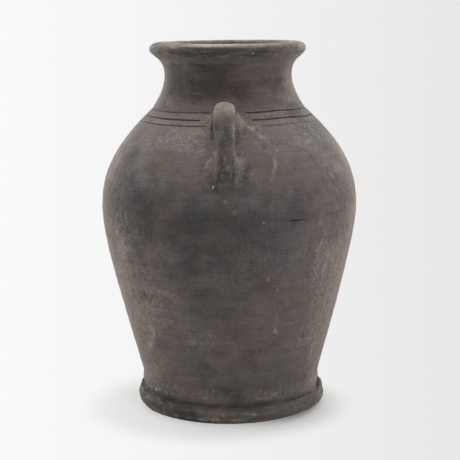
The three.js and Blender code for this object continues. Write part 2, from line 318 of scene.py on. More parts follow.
# Placed marks: the crack at the widest girth, the dusty trail right of the front handle, scuffs
# low on the left, upright worn streaks low on the right, flecks, and chips on foot and rim. Each
# row is an angle, a height, a length, a width, a tilt, a depth and a strength.
PLACED = tuple(
    Mark(*place, tone, strength)
    for tone, rows in {
        Tone.HOLLOW: (
            (31.5, 212.5, 7.5, 0.75, 0, 1.8, 1.0), (36.5, 211.9, 2.5, 0.5, -4, 0.8, 0.7),
            (54, 257, 4.5, 0.7, 70, 0.2, 0.5), (-49.5, 150, 1.8, 1.4, 0, 0.5, 0.7),
            (9.4, 254, 4, 1.8, 60, 0.3, 0.4), (-10.5, 262, 3, 1.6, 70, 0.3, 0.45),
            (150, 212.3, 9, 0.5, 0, 1.1, 0.8),
        ),
        Tone.CHAR: (
            (-50, 165.5, 34, 2.0, 0, 0.25, 0.55), (-55, 274, 7, 4.5, 20, 0.1, 0.75),
            (28.5, 172, 20, 5, 90, 0, 0.2), (-86, 7, 16, 6, 0, 1.3, 0.3), (84, 17, 14, 4, 0, 0.8, 0.3),
            (-6.0, 257, 7, 3.4, 80, 0, 0.9), (-7.5, 246, 8, 5.0, 60, 0, 0.5), (60, 376, 6, 2.2, 0, 0, 0.8),
            (24, 349, 15, 1.2, 0, 0.1, 0.4), (-12, 353, 22, 1.3, 1, 0.1, 0.35),
        ),
        Tone.TAN: (
            (-31, 304.0, 3, 1.6, 0, -0.7, 0.3), (7.6, 268, 16, 3.4, 88, -0.3, 0.4),
            (-7.2, 270, 7, 2.6, 60, -0.3, 0.5), (-9.8, 261, 4, 1.8, 40, -0.2, 0.45),
            (55.3, 251, 3.6, 1.9, 118, -0.2, 0.9), (-32, 141, 12, 4.2, -6, 0, 0.6),
            (-24, 135, 5, 3.4, -35, 0, 0.5), (-28.5, 109, 5, 2.0, 35, 0, 0.5),
            (-55, 178, 26, 12, 72, 0, 0.45), (-50, 78, 12, 5, 50, 0.1, 0.55), (-44, 92, 10, 6, 70, 0, 0.4),
            (-38, 64, 9, 4, 20, 0, 0.3), (20, 156, 3.5, 1.3, 85, 0, 0.75),
            (25, 143.5, 3.0, 1.3, 85, 0, 0.75), (26.3, 99.5, 3.2, 2.2, 80, -0.2, 0.95),
            (26, 109, 9, 1.6, 88, 0, 0.4), (46, 162, 26, 5, 88, 0, 0.38), (51.4, 158, 22, 2.4, 86, 0, 0.35),
            (51.4, 156.5, 5, 1.8, 80, 0, 0.75), (52.5, 161, 3, 1.3, 80, 0, 0.6),
            (57, 70, 14, 4, 90, 0, 0.4), (62, 78, 15, 1.6, 91, 0, 0.4), (43, 84, 11, 2.0, 89, 0, 0.3),
            (-14, 28.6, 2.2, 1.0, 10, -0.3, 1.0), (24, 32, 2.0, 1.0, 0, -0.2, 0.9),
            (-5, 8.2, 22, 2.2, 0, 0.25, 0.5), (-76, 15, 3.2, 1.7, 70, 1.3, 0.7),
            (11.6, 256.5, 2.4, 1.8, 60, -0.3, 0.8), (0.5, 233.4, 3.6, 1.9, -35, -0.2, 0.5),
            (4.6, 223.6, 3.2, 1.7, 30, -0.2, 0.5), (2.4, 228.5, 2.6, 1.6, -50, 0, 0.35),
            (24, 264.5, 4.2, 1.7, 75, -0.2, 0.5), (22.4, 258, 4.2, 2.2, 80, -0.2, 0.6),
            (21.2, 253.4, 2.4, 1.7, 60, -0.2, 0.55), (24, 290, 3, 1.2, 60, 0.5, 0.7),
            (28, 288, 3, 1.2, -60, 0.5, 0.7), (16, 29, 16, 2.4, 3, 0.1, 0.27),
            (27, 31, 12, 2.2, -4, -0.1, 0.24), (37, 27.5, 14, 2.4, 5, 0.1, 0.27),
            (22, 26, 9, 2.0, 0, 0, 0.28), (-8, 27, 12, 2.0, -3, 0.1, 0.28), (47, 34, 12, 2.2, 8, 0, 0.3),
            (-30, 331, 13, 1.2, 2, -0.1, 0.35), (-42, 326, 9, 1.1, -3, -0.1, 0.35),
            (5, 325, 7, 1.0, 4, -0.1, 0.4), (30, 338, 6, 5.0, 80, 0, 0.25), (42, 329, 9, 1.4, 0, 0, 0.3),
            (-120, 378.5, 3.0, 1.8, 0, 0.7, 0.7),
        ),
        Tone.DUST: (
            (-37, 142.6, 9, 1.6, 4, 0, 0.5), (-28.5, 141, 7, 1.6, -18, 0, 0.6),
            (-24.6, 136.4, 6, 1.7, -38, 0, 0.55), (-25.5, 131, 4, 1.6, -75, 0, 0.45),
            (-27, 101, 4, 1.1, 30, 0, 0.35), (-6, 123.7, 2.4, 1.8, 40, -0.1, 0.55),
            (75.4, 17.6, 1.8, 1.2, 0, 0.4, 0.9), (178, 377.4, 3.4, 2.2, 0, 0.9, 0.8),
        ),
    }.items()
    for *place, strength in rows
)


# The dusty trail's path from the handle's right root down the shoulder, as angle and height.
TRAIL = (
    (10.3, 311), (11.2, 302), (16.3, 298), (19.6, 293), (22.9, 288), (26.5, 279), (24.2, 270), (24, 264),
    (21.5, 257),
)


class Spots(NamedTuple):
    """Points of the surface: their angles in degrees, their heights and their places in mm."""

    angle: Array
    height: Array
    places: Array


@dataclass(frozen=True)
class Patch:
    """A soft patch of the surface: its middle, its reach both ways, and how strong it is there."""

    angle: float
    height: float
    wide: float
    tall: float
    strength: float

    def share(self, at: Spots) -> Array:
        """The patch's strength at each point."""
        level = bell(at.height - self.height, self.tall)
        return self.strength * bell(apart(at.angle, self.angle), self.wide) * level


def patches(*rows: tuple) -> tuple:
    """Patches from rows of their values."""
    return tuple(Patch(*row) for row in rows)


# Where the vessel was smoked in the fire, and in between where the smoke lies thinner. The patches at 58° and
# ±60° high on the shoulder, and at -62° just above the foot, are painted shade.
SMOKE_AND_SHADE_PATCHES = patches(
    (-2, 208, 38, 42, 0.7), (-8, 150, 26, 40, 0.36), (-56, 230, 22, 34, 0.8), (72, 238, 18, 16, 0.3),
    (58, 300, 22, 16, 0.4), (-5, 95, 45, 60, 0.26), (-9, 172, 5, 26, -0.35), (46, 176, 8, 14, -0.65),
    (6, 34, 75, 15, 0.42), (-62, 26, 9, 9, 1.0), (60, 316, 10, 6, 0.6), (-60, 316, 10, 6, 0.6),
    (30, 354, 13, 9, -0.6), (0, 352, 40, 8, -0.15), (11, 320, 6, 7, 0.4), (-13, 308, 5, 7, 0.35),
    (-50, 345, 8, 14, 0.4), (66, 226, 8, 14, 0.35), (-56, 172, 8, 14, 0.6), (-53, 270, 9, 12, 0.4),
    (48, 288, 6, 8, 0.3), (34, 33.5, 10, 8, -0.25), (10, 86, 13, 12, -0.4), (-15, 83, 7, 7, 0.45),
    (14, 303, 5, 6, 0.2), (38, 261, 10, 10, -0.25), (22, 262, 12, 7, -0.2), (-140, 378, 34, 5, 0.25),
    (-24, 157, 6, 7, 0.3), (26, 97, 8, 8, -0.25), (41, 271, 7, 9, -0.3), (8, 205, 9, 14, 0.05),
    (25, 199, 9, 13, -0.22), (23, 238, 6, 6, 0.15), (-28, 168, 6, 9, 0.3), (-11, 140, 6, 8, 0.25),
    (22, 170, 10, 8, 0.2), (-50, 127, 9, 9, 0.45),
)

# Where the wash was rubbed down to the bare clay.
RUBBED = patches(
    (-60, 120, 27, 66, 0.5), (-54, 188, 22, 20, 0.14), (60, 125, 20, 80, 0.44), (-12.5, 277, 4, 5, 0.35),
    (8, 271, 5, 4, 0.22), (8, 208, 13, 15, -0.3), (-12, 143, 7, 9, -0.25), (8, 148, 6, 8, -0.15),
    (47, 178, 7, 10, 0.35),
)

# Where dried slip stayed in the pores, and where it was wiped off. The tall patches at 83° and -81° are a
# painted rim light along the silhouette's edges.
DUST_AND_RIM_LIGHT = patches(
    (16, 302, 9, 9, -0.18), (83, 105, 14, 45, 0.5), (-81, 105, 14, 45, 0.5), (-12.5, 277, 4, 5, 0.2),
    (8, 271, 5, 4, 0.03),
)

# Where the fired clay turned warmer, or greyer where the strength is negative.
WARMED = patches(
    (-28, 266, 18, 15, 0.5), (55, 251, 3, 4, 1.0), (18, 267, 7, 13, 0.55), (-50, 275, 8, 7, -0.4),
    (-36, 241, 14, 10, -0.25), (-13, 222, 9, 13, -0.6), (-17, 176, 9, 22, -0.5), (5, 206, 10, 20, -0.1),
    (22, 203, 11, 42, -0.45), (36, 245, 9, 20, -0.3), (45, 288, 20, 18, -0.35), (50, 205, 18, 40, -0.3),
    (-45, 297, 20, 14, 0.3), (-23, 212, 6, 13, 0.3), (-9, 158, 4, 30, 0.3), (15, 112, 7, 14, 0.3),
    (7, 83, 12, 9, 0.25), (-37, 80, 6, 9, 0.4), (-12, 136, 6, 9, -0.35), (21, 80, 5, 7, -0.4),
    (-6, 340, 60, 22, 0.75), (-20, 10, 10, 9, -0.5),
)


@dataclass
class Skin:
    """Everything that hand, tool and time did to the outside, with painted shade and highlights, as fields
    over angle and height.
    """

    outline: Outline
    groove_width: float = 0.72
    burr: float = 0.22
    grain_height: float = 0.1
    foot_top: float = 21.3
    foot_reach: float = 94.0
    strokes: tuple = field(init=False)
    drift: Waves = field(default_factory=lambda: Waves(5, 70, (1, 1, 3)))
    press: Waves = field(default_factory=lambda: Waves(7, 17, (1.5, 1.5, 1)))
    cloud: Waves = field(default_factory=lambda: Waves(11, 95))
    patch: Waves = field(default_factory=lambda: Waves(13, 38, (1.3, 1.3, 1)))
    crumb: Waves = field(default_factory=lambda: Waves(23, 7, (1.2, 1.2, 1), 34))
    blotch: Waves = field(default_factory=lambda: Waves(29, 27, (1.2, 1.2, 1), 34))
    brushed: Waves = field(default_factory=lambda: Waves(37, 4.6, (4.5, 4.5, 1), 40))

    def __post_init__(self) -> None:
        """Draws the strokes that have no place of their own."""
        drawn = self.random_strokes(np.random.default_rng(41)) + self.pores(np.random.default_rng(63))
        self.strokes = PLACED + tuple(drawn)

    def random_strokes(self, draw: np.random.Generator) -> list:
        """Draws the small marks that have no place of their own.

        Args:
            draw: the random generator, used in one fixed order.

        Returns:
            Level brush marks, upright rubbed streaks, dents, and chips along foot and rim.
        """
        marks, pick, some = [], draw.uniform, draw.random
        for _ in range(70):
            tone = Tone.CHAR if some() < 0.55 else Tone.TAN
            place = pick(-180, 180), pick(28, 296), pick(6, 26), pick(0.7, 1.6), draw.normal(0, 5)
            marks.append(Mark(*place, pick(-0.08, 0.16), tone, pick(0.12, 0.3)))
        for _ in range(90):
            angle = pick(60, 310) if some() < 0.6 else pick(-180, 180)
            place = pick(40, 235), pick(4, 15), pick(0.9, 2.0), 90 + draw.normal(0, 14), pick(-0.05, 0.08)
            marks.append(Mark(angle, *place, Tone.TAN if some() < 0.65 else Tone.DUST, pick(0.15, 0.4)))
        for _ in range(60):
            size = pick(0.8, 2.2)
            place = pick(-180, 180), pick(24, 350), size * pick(1, 1.8), size, pick(0, 180), pick(0.15, 0.5)
            marks.append(Mark(*place, Tone.HOLLOW, pick(0.2, 0.5)))
        for _ in range(26):
            height = pick(7, 19) if some() < 0.6 else pick(370, 379)
            depth, strength = pick(0.2, 0.7), pick(0.4, 0.8)
            marks.append(Mark(pick(-180, 180), height, pick(1.5, 5), 1.2, 0, depth, Tone.TAN, strength))
        for _ in range(34):
            low = some() < 0.5
            place = pick(-85, 80), pick(3, 17) if low else pick(24, 40), pick(4, 11), pick(1.5, 2.4)
            tilt, depth, tone = draw.normal(0, 6), pick(-0.3, 0.3), Tone.TAN if some() < 0.7 else Tone.CHAR
            marks.append(Mark(*place, tilt, depth, tone, pick(0.2, 0.4)))
        return marks

    def pores(self, draw: np.random.Generator) -> list:
        """Draws the small dark pits in the thumbed clay round the handles.

        Args:
            draw: the random generator, used in one fixed order.

        Returns:
            The pits.
        """
        marks, pick = [], draw.uniform
        for _ in range(110):
            middle = 0 if draw.random() < 0.6 else 180
            size = pick(0.6, 1.3)
            place = middle + draw.normal(3, 8), draw.normal(268, 19), size * pick(1, 2.2), size
            marks.append(Mark(*place, pick(0, 180), pick(0.25, 0.6), Tone.HOLLOW, pick(0.25, 0.6)))
        return marks

    def trail(self, at: Spots) -> Array:
        """How much dried slip lies along the dusty trail.

        Args:
            at: the points.

        Returns:
            The slip's share at each, from 0 to 1.
        """
        across, up = 1.9, 1.25  # mm of surface for a degree, and for a millimetre of height
        path = np.array(TRAIL, float) * (across, up)
        places = np.stack([at.angle * across, at.height * up], -1)
        nearest = np.full(len(places), np.inf)
        for start, end in zip(path[:-1], path[1:]):
            way = end - start
            share = np.clip(((places - start) @ way) / (way @ way), 0, 1)
            nearest = np.minimum(nearest, np.linalg.norm(places - start - share[:, None] * way, axis=1))
        return bell(nearest, 1.7 + 1.5 * smooth(at.height, 284, 300))

    def warmth(self, at: Spots) -> Array:
        """How much warmer than the plain wash each point is, from -1 to 1."""
        return np.clip(sum(patch.share(at) for patch in WARMED), -1, 1)

    def local(self, at: Spots, mark: Mark) -> Array:
        """Where a mark's stroke lies.

        Args:
            at: the points.
            mark: the stroke.

        Returns:
            Its strength at each point, from 0 to 1.
        """
        mid = min(mark.height, 372.0)
        around = np.radians(apart(at.angle, mark.angle)) * self.outline.radius(mid)
        lean = self.outline.slope(np.array(min(mid, self.outline.seat_z - 1)))
        up = (at.height - mark.height) * np.hypot(1, lean)
        near = np.maximum(np.abs(around), np.abs(up)) < 3 * mark.length + 4
        turn = math.radians(mark.tilt)
        along = around[near] * math.cos(turn) + up[near] * math.sin(turn)
        across = up[near] * math.cos(turn) - around[near] * math.sin(turn)
        found = np.zeros(len(up))
        found[near] = bell(along, mark.length) * bell(across, mark.width)
        return found

    def line_share(self, line: IncisedLine, angle: Array) -> Array:
        """How much of an incised line is left.

        Args:
            line: the line.
            angle: the angle of each point, in degrees.

        Returns:
            Its strength at each point, from 0 to about 1.
        """
        share, front = np.ones(len(angle)), apart(angle, 0)
        for middle, (start, end), blunt in ((0, line.front, line.blunt), (180, line.back, 3.0)):
            share *= 1 - between(apart(angle, middle), start - blunt, start, end, end + 3)
        far = smooth(np.abs(front), 80, 110)
        return share * (np.where(front < 0, line.left, line.right) * (1 - far) + 0.85 * far)

    def line_offset(self, line: IncisedLine, at: Spots) -> Array:
        """How far each point lies above an incised line's own path.

        Args:
            line: the line.
            at: the points.

        Returns:
            The distance along the wall, in mm.
        """
        angle, height, points = at
        rise = 0.85 * bell(apart(angle, 41), 14)
        if line.height >= self.outline.collar_z:
            rise -= 0.5 * bell(apart(angle, -46), 16)
        else:
            rise += 0.5 * bell(apart(angle, -60), 10) - 0.4 * bell(apart(angle, -25), 12)
            rise += 0.32 * self.drift(points) + 0.1 * np.sin(np.radians(angle * 3 + line.height * 40))
        return (height - line.height - rise) * np.hypot(1, self.outline.slope(np.array(line.height - 1.0)))

    def lift(self, at: Spots) -> Array:
        """How far the surface stands out from its turned form.

        Args:
            at: the points, on the turned form.

        Returns:
            The rise along the surface's own normal, in mm.
        """
        angle, height, points = at
        press, crumb = self.press(points), self.crumb(points)
        rise = self.grain_height * crumb + 0.45 * bell(height - 28.5, 2.6)
        for line in INCISED:
            off = self.line_offset(line, at)
            share = self.line_share(line, angle) * (1 + 0.16 * press)
            lips = bell(off - 1.35, 0.55) + bell(off + 1.35, 0.55)
            rise += share * (self.burr * lips - line.depth * bell(off, self.groove_width))
        for mark in self.strokes:
            if mark.depth:
                rise -= mark.depth * self.local(at, mark)
        near = np.minimum(np.abs(apart(angle, 0)), np.abs(apart(angle, 180)))
        thumbed = (1 - smooth(near, 14, 27)) * between(height, 284, 296, 313, 324)
        rise += thumbed * (0.35 + 0.38 * press)
        rise += (height < self.foot_top) * (0.7 * press + 0.12 * crumb)
        above = (height > 19) & (from_axis(points) < self.foot_reach)
        seam = bell(height - self.crease(angle) - 0.6, 3.2) * (1.35 + 0.5 * self.drift(points))
        return rise - seam * above + 1.3 * self.foot_ridge(at)

    def lean(self, height: Array) -> Array:
        """How far the thrown wall strays to the right of the axis at a height, in mm."""
        return 0.8 * bell(height - 285, 45) - 0.5 * bell(height - 165, 35) - 0.35 * smooth(height, 363, 371)

    def crease(self, angle: Array) -> Array:
        """The height of the crease above the foot, which was pressed lower at the front and right."""
        sway = 0.4 * np.sin(np.radians(angle * 5 + 20)) * smooth(np.abs(angle), 10, 60)
        return self.foot_top - 1.7 * between(angle, -62, -28, 110, 150) - sway

    def foot_ridge(self, at: Spots) -> Array:
        """The pushed-up, broken line of clay above the foot's crease, at the front left.

        Args:
            at: the points.

        Returns:
            The ridge's share at each, from 0 to about 1.
        """
        angle, height, points = at
        press = self.press(points)
        path = 26.4 + 1.3 * np.sin(np.radians((angle + 60) * 3.2)) + 0.7 * press
        broken = between(angle, -68, -54, -30, -8) * np.clip(0.65 + 0.6 * self.crumb(points), 0, 1.4)
        return broken * bell(height - path, 1.4 + 0.3 * press) * (height > self.foot_top)

    def tones(self, at: Spots) -> Array:
        """How each point's colour departs from the plain wash.

        Args:
            at: the points.

        Returns:
            Four channels from 0 to 1, in the order of Tone.
        """
        angle, height, points = at
        found, char, tan, dust, shade_and_dirt = no_tones(len(angle))
        cloud, patch, crumb, brushed = (f(points) for f in (self.cloud, self.patch, self.crumb, self.brushed))
        turned, front, shaded_left = np.abs(apart(angle, 0)), apart(angle, 6), smooth(-angle, 40, 60)
        for tone, soft in ((char, SMOKE_AND_SHADE_PATCHES), (tan, RUBBED), (dust, DUST_AND_RIM_LIGHT)):
            for place in soft:
                tone += place.share(at)

        # Smoke of the fire: broad clouds, the neck, the lip and the foot, with painted shade on the flanks of
        # neck, shoulder and belly, under the overhanging lip and on the foot's left.
        far = smooth(turned, 75, 120)
        # Painted shade on the neck's flanks; the neck's dark is partly painted shade under the overhanging
        # lip.
        sides = bell(apart(angle, 52), 12) + bell(apart(angle, -58), 16)
        neck = 0.8 * bell(apart(angle, -8), 34) + 0.3 * bell(apart(angle, -52), 22)
        char += 0.6 * sides * between(height, 320, 334, 354, 362) + neck * between(height, 318, 330, 358, 364)
        # Painted shade on the flanks of belly and shoulder.
        char += 0.42 * bell(turned - 64, 13) * between(height, 165, 190, 270, 290)
        char += 0.62 * smooth(turned, 44, 61) * between(height, 268, 286, 312, 322)
        char += 0.18 * self.blotch(points) * (1 - 0.7 * bell(front, 40) * bell(height - 170, 80))
        char += 0.5 * far * smooth(cloud, -0.1, 1.0) + 0.22 * smooth(patch, 0.2, 1.2)
        edge = 375 + 3.2 * between(turned, 28, 48, 95, 120)
        lip = smooth(height, 366, 368) * (1 - smooth(height - edge, 0, 3.5))
        char += 0.7 * lip * (0.9 + 0.25 * patch + 0.4 * brushed) * (1 - 0.4 * smooth(angle, 14, 46))
        # The foot's coil is darker, and on its left darker still as painted shade.
        foot = 1 - smooth(height, 19, 22)
        char += 0.56 * foot * (0.6 + 0.4 * smooth(np.abs(front), 15, 50) + 0.2 * brushed) + 0.7 * foot * shaded_left
        shade_and_dirt += 0.1 * foot * shaded_left

        # Bare clay, and dust on shoulder and rim.
        tan += (0.35 * lip + 0.16 * foot) * smooth(-brushed, 0.4, 1.5) + 0.35 * far * smooth(-cloud, 0.0, 1.1)
        tan += 0.16 * smooth(-patch, 0.3, 1.3) + 0.25 * bell(height - 40, 16) * smooth(-front, 20, 60)
        tan += 0.5 * bell(height - 7, 1.8) * between(angle, -95, -70, 5, 25) * (0.6 + 0.5 * crumb)
        shoulder = between(height, 262, 284, 311, 318)
        dust += shoulder * (0.36 + 0.12 * patch + 0.1 * bell(apart(angle, -16), 14))
        dust += smooth(height, 375, 378.5) * (0.1 + 0.9 * bell(apart(angle, -10), 32)) * (0.85 + 0.3 * patch)

        # Strokes, the dusty trail, the incised lines, the foot's crease and the handles' roots, with painted
        # shade in the lines and the crease, under the lip and beside the straps, and painted highlights under
        # the lip.
        for mark in self.strokes:
            broken = 1 if mark.tone is Tone.HOLLOW else np.clip(0.85 + 0.35 * crumb, 0, 1.3)
            found[:, mark.tone.value] += mark.strength * broken * self.local(at, mark)
        slip = self.trail(at) * np.clip(0.6 + 0.9 * crumb, 0, 1.5)
        dust += 0.24 * slip
        tan += (0.45 + 0.25 * (1 - smooth(height, 278, 290))) * slip
        # Each line's groove is dark with dirt and painted shade.
        for line in INCISED:
            off, share = self.line_offset(line, at), self.line_share(line, angle)
            shade_and_dirt += 0.9 * share * bell(off, 0.85)
            tan += 0.25 * share * (bell(off - 1.6, 0.7) + bell(off + 1.7, 0.7))
        # Painted shade in the foot's crease, deeper on the left.
        deep = 1 - 0.4 * smooth(angle, 20, 60) * (angle < 100) - 0.3 * bell(angle - 14, 20)
        deep += 0.6 * bell(apart(angle, -66), 14) - 0.25 * bell(apart(angle, -36), 10)
        shade_and_dirt += 0.55 * bell(height - self.crease(angle) - 0.6, 2.3) * deep
        ridge = self.foot_ridge(at)
        tan += 0.6 * ridge
        dust += 0.45 * ridge
        # Painted highlights: pale lines along the lip roll's lower edge, and a fainter one below it from the
        # back round the left to the front.
        lip_edge_highlights = 0.6 * bell(height - 368.0, 1.0) + 0.3 * bell(height - 361.0, 1.0) * (angle < 20)
        tan += lip_edge_highlights * np.clip(0.5 + 0.5 * crumb, 0, 1)
        # Painted shade under the lip roll.
        shade_and_dirt += 0.15 * bell(height - 364.5, 2.0)
        # Painted shadow on the wall beside each strap under its arch, and a dark line in the gap left of the
        # front strap.
        near = np.radians(turned) * self.outline.radius(height)
        beside = between(height, 282, 289, 301, 307) * np.clip(0.8 + 0.4 * crumb, 0, 1.2)
        shade_and_dirt += 0.36 * bell(near - 12.0, 2.0) * beside
        shade_and_dirt += 0.55 * between(height, 286, 293, 311, 317) * bell(apart(angle, -8.0), 0.8)
        return np.clip(found, 0, 1)


# Materials.


def linear(colour: str) -> tuple:
    """An sRGB hex colour as linear RGBA."""
    parts = [int(colour[i : i + 2], 16) / 255 for i in (1, 3, 5)]
    return tuple(c / 12.92 if c <= 0.04045 else ((c + 0.055) / 1.055) ** 2.4 for c in parts) + (1.0,)


def cleared(owner: ID) -> NodeTree:
    """Gives a material or a world an empty node tree.

    Args:
        owner: the material or the world.

    Returns:
        Its tree.
    """
    owner.use_nodes = True
    owner.node_tree.nodes.clear()
    return owner.node_tree


def add(tree: NodeTree, kind: str, inputs: dict | tuple = (), **settings: object) -> Node:
    """Adds a node with its settings and links.

    Args:
        tree: the tree that gets the node.
        kind: the node's type.
        inputs: what each input gets, by name or number or else in order: a value, another node,
            or one of its outputs. A node stands for its first output in use.
        settings: the node's own settings.

    Returns:
        The new node.
    """
    made = tree.nodes.new(kind)
    for name, value in settings.items():
        setattr(made, name, value)
    for key, value in inputs.items() if isinstance(inputs, dict) else enumerate(inputs):
        if isinstance(value, Node):
            value = next(socket for socket in value.outputs if socket.enabled)
        if isinstance(value, NodeSocket):
            tree.links.new(value, made.inputs[key])
        else:
            made.inputs[key].default_value = value
    return made


def chain(tree: NodeTree, sums: Sums, start: object, *steps: tuple) -> object:
    """Adds a row of arithmetic, in which each step works on the result of the one before.

    Args:
        tree: the tree that gets the nodes.
        sums: what the arithmetic is done with.
        start: what the first step works on.
        steps: the operations, each with its other operands.

    Returns:
        The last node.
    """
    for operation, *others in steps:
        start = add(tree, sums.value, (start, *others), operation=operation)
    return start


def layered(tree: NodeTree, colour: object, layers: tuple, blend: Blend = Blend.COVER) -> object:
    """Lays colours over one another, each where a pattern reaches from one level to another.

    Args:
        tree: the material's tree.
        colour: the lowest colour.
        layers: for each a colour, a pattern, the level where it starts, the level where it is
            full, and its share there.
        blend: how each meets what lies under it.

    Returns:
        The last node.
    """
    for above, pattern, start, full, share in layers:
        ramp = (pattern, start, full, 0.0, share)
        factor = add(tree, "ShaderNodeMapRange", ramp, interpolation_type="SMOOTHSTEP")
        inputs = {0: factor, 6: colour, 7: linear(above)}
        colour = add(tree, "ShaderNodeMix", inputs, data_type="RGBA", blend_type=blend.value)
    return colour


@dataclass(frozen=True)
class WashedEarthenware:
    """Low-fired clay under a thin dark slip wash, brushed on while the pot turned, then rubbed.

    To the eye: dull and dry, a cloudy grey-brown that turns pinkish and greenish in patches,
    with brush lines, paler clay showing on worn places, and dust in the hollows. A faint warm
    bloom shows where it is seen edge-on. Lengths are in mm.
    """

    name: str
    wash: str = "#78706d"
    brown: str = "#796a65"
    green: str = "#6c6d6b"
    rust: str = "#8a5f4c"
    slate: str = "#58616b"
    char: str = "#4b4847"
    tan: str = "#958a7f"
    rub: str = "#b5aba0"
    dust: str = "#aca39c"
    # The dark of dirt specks, and of the fourth tone channel: dirt in pits and painted shade in hollows and
    # beside the straps.
    dirt_and_shade: str = "#282523"
    bloom: str = "#f0d3bc"
    cloud: float = 62.0
    hue: float = 26.0
    mottle: float = 11.0
    drag: float = 1.4
    brush_long: float = 44.0
    brush_fine: float = 1.7
    streak_long: float = 17.0
    streak_fine: float = 2.3
    fleck_size: float = 3.6
    scuff: float = 7.5
    grit: float = 1.5
    bump: float = 0.75
    roughness: float = 0.77
    contrast: float = 0.2

    def patterns(self, tree: NodeTree) -> list:
        """Adds the noise patterns of the wash, each of a real size.

        Args:
            tree: the material's tree.

        Returns:
            The patterns in the order of the table, each around 0.5.
        """
        table = (  # length across and up, detail, roughness, distortion
            (self.cloud, self.cloud, 4.0, 0.55, 0.0),
            (self.hue * 1.5, self.hue, 5.0, 0.6, 0.7),
            (self.mottle * self.drag, self.mottle, 7.0, 0.68, 0.5),
            (self.brush_long, self.brush_fine, 4.0, 0.6, 0.0),
            (self.streak_fine, self.streak_long, 4.0, 0.6, 0.0),
            (self.fleck_size, self.fleck_size, 5.0, 0.72, 0.8),
            (self.grit, self.grit, 3.0, 0.7, 0.0),
            (self.scuff, self.scuff * 2.0, 2.0, 0.6, 2.0),
        )
        place = add(tree, "ShaderNodeTexCoord").outputs["Object"]
        found = []
        for across, up, detail, roughness, distortion in table:
            scale = [1 / (length * MM) for length in (across, across, up)]
            inputs = {"Vector": place, "Scale": scale, "Location": (3.1, 7.7, 1.3)}
            noise = {"Vector": add(tree, "ShaderNodeMapping", inputs), "Scale": 1.0}
            noise |= {"Detail": detail, "Roughness": roughness, "Distortion": distortion}
            found.append(add(tree, "ShaderNodeTexNoise", noise))
        return found

    def make(self) -> Material:
        """Builds the material.

        Returns:
            The material, which reads the tones and the warmth of the mesh that it is on.
        """
        material = bpy.data.materials.new(self.name)
        tree = cleared(material)
        numbers = partial(chain, tree, Sums.NUMBERS)
        cloud, tint, spots, brush, streak, flecks, grain, scuffs = self.patterns(tree)
        tones = add(tree, "ShaderNodeAttribute", attribute_name=TONES).outputs
        char, tan, dust = add(tree, "ShaderNodeSeparateColor", (tones["Color"],)).outputs
        warm = add(tree, "ShaderNodeAttribute", attribute_name=WARMTH).outputs["Fac"]

        # The wash, thinned out in grains and streaks by smoke, wear, dust and scuffs.
        # The first tone channel's dark: smoke and wash, with painted shade on flanks and sides.
        smoke_and_shade = numbers(char, ("MULTIPLY_ADD", 2.5, flecks), ("ADD", spots))
        rubbed = numbers(tan, ("MULTIPLY_ADD", 1.5, flecks), ("ADD", streak))
        dusted = numbers(dust, ("MULTIPLY_ADD", 0.75, flecks))
        ridge = numbers(scuffs, ("SUBTRACT", 0.5), ("ABSOLUTE",))
        covers = (
            (self.brown, cloud, 0.42, 0.6, 0.7),
            (self.green, tint, 0.5, 0.62, 0.3),
            (self.char, spots, 0.46, 0.7, 0.22),
            (self.char, flecks, 0.5, 0.68, 0.4),
            (self.char, smoke_and_shade, 1.1, 3.5, 1.0),
            (self.tan, flecks, 0.44, 0.3, 0.22),
            (self.tan, rubbed, 1.32, 2.4, 1.0),
            (self.dust, dusted, 0.66, 1.25, 1.0),
            (self.rub, ridge, 0.05, 0.012, tan),
        )
        colour = layered(tree, linear(self.wash), covers)

        # Warmer and greyer patches.
        blush = numbers(brush, ("ADD", spots), ("ADD", flecks))
        turned = numbers(streak, ("ADD", tint), ("ADD", grain))
        tints = (
            (self.rust, blush, 1.52, 1.78, 0.24),
            (self.slate, blush, 1.48, 1.22, 0.22),
            (self.rust, turned, 1.54, 1.8, 0.26),
            (self.slate, turned, 1.46, 1.2, 0.2),
            (self.rust, warm, 0.0, 1.0, 0.28),
            (self.slate, warm, 0.0, -1.0, 0.5),
        )
        colour = layered(tree, colour, tints, Blend.TINT)

        # Fine streaks of light and dark, crumbs of dried slip, specks of dirt, and the fourth tone channel's
        # dark: dirt in pits and painted shade in grooves, creases and beside the straps.
        ripple = numbers(brush, ("MULTIPLY_ADD", 1.5, flecks), ("ADD", streak), ("ADD", grain))
        spread = (ripple, 1.85, 2.65, 1 - self.contrast, 1 + self.contrast)
        shade = add(tree, "ShaderNodeMapRange", spread)
        colour = add(tree, "ShaderNodeHueSaturation", {"Color": colour, "Value": shade})
        crumbs = numbers(dust, ("MULTIPLY_ADD", 0.2, grain))
        fines = ((self.dust, crumbs, 0.66, 0.78, 0.55), (self.dirt_and_shade, grain, 0.35, 0.27, 0.45))
        # Dirt and painted shade from the fourth tone channel.
        hollows = {0: tones["Alpha"], 6: layered(tree, colour, fines), 7: linear(self.dirt_and_shade)}
        colour = add(tree, "ShaderNodeMix", hollows, data_type="RGBA")

        rough = add(tree, "ShaderNodeMapRange", (spots, 0.3, 0.7, self.roughness - 0.1, self.roughness + 0.1))
        relief = numbers(flecks, ("MULTIPLY_ADD", 1.5, numbers(brush, ("MULTIPLY_ADD", 0.4, grain))))
        bump = add(tree, "ShaderNodeBump", {"Height": relief, "Strength": self.bump, "Distance": 0.6 * MM})
        clay = {"Base Color": colour, "Roughness": rough, "Normal": bump, "Specular IOR Level": 0.45}
        clay |= {"Sheen Weight": 0.5, "Sheen Roughness": 0.28, "Sheen Tint": linear(self.bloom)}
        surface = add(tree, "ShaderNodeBsdfPrincipled", clay)
        add(tree, "ShaderNodeOutputMaterial", {"Surface": surface})
        return material


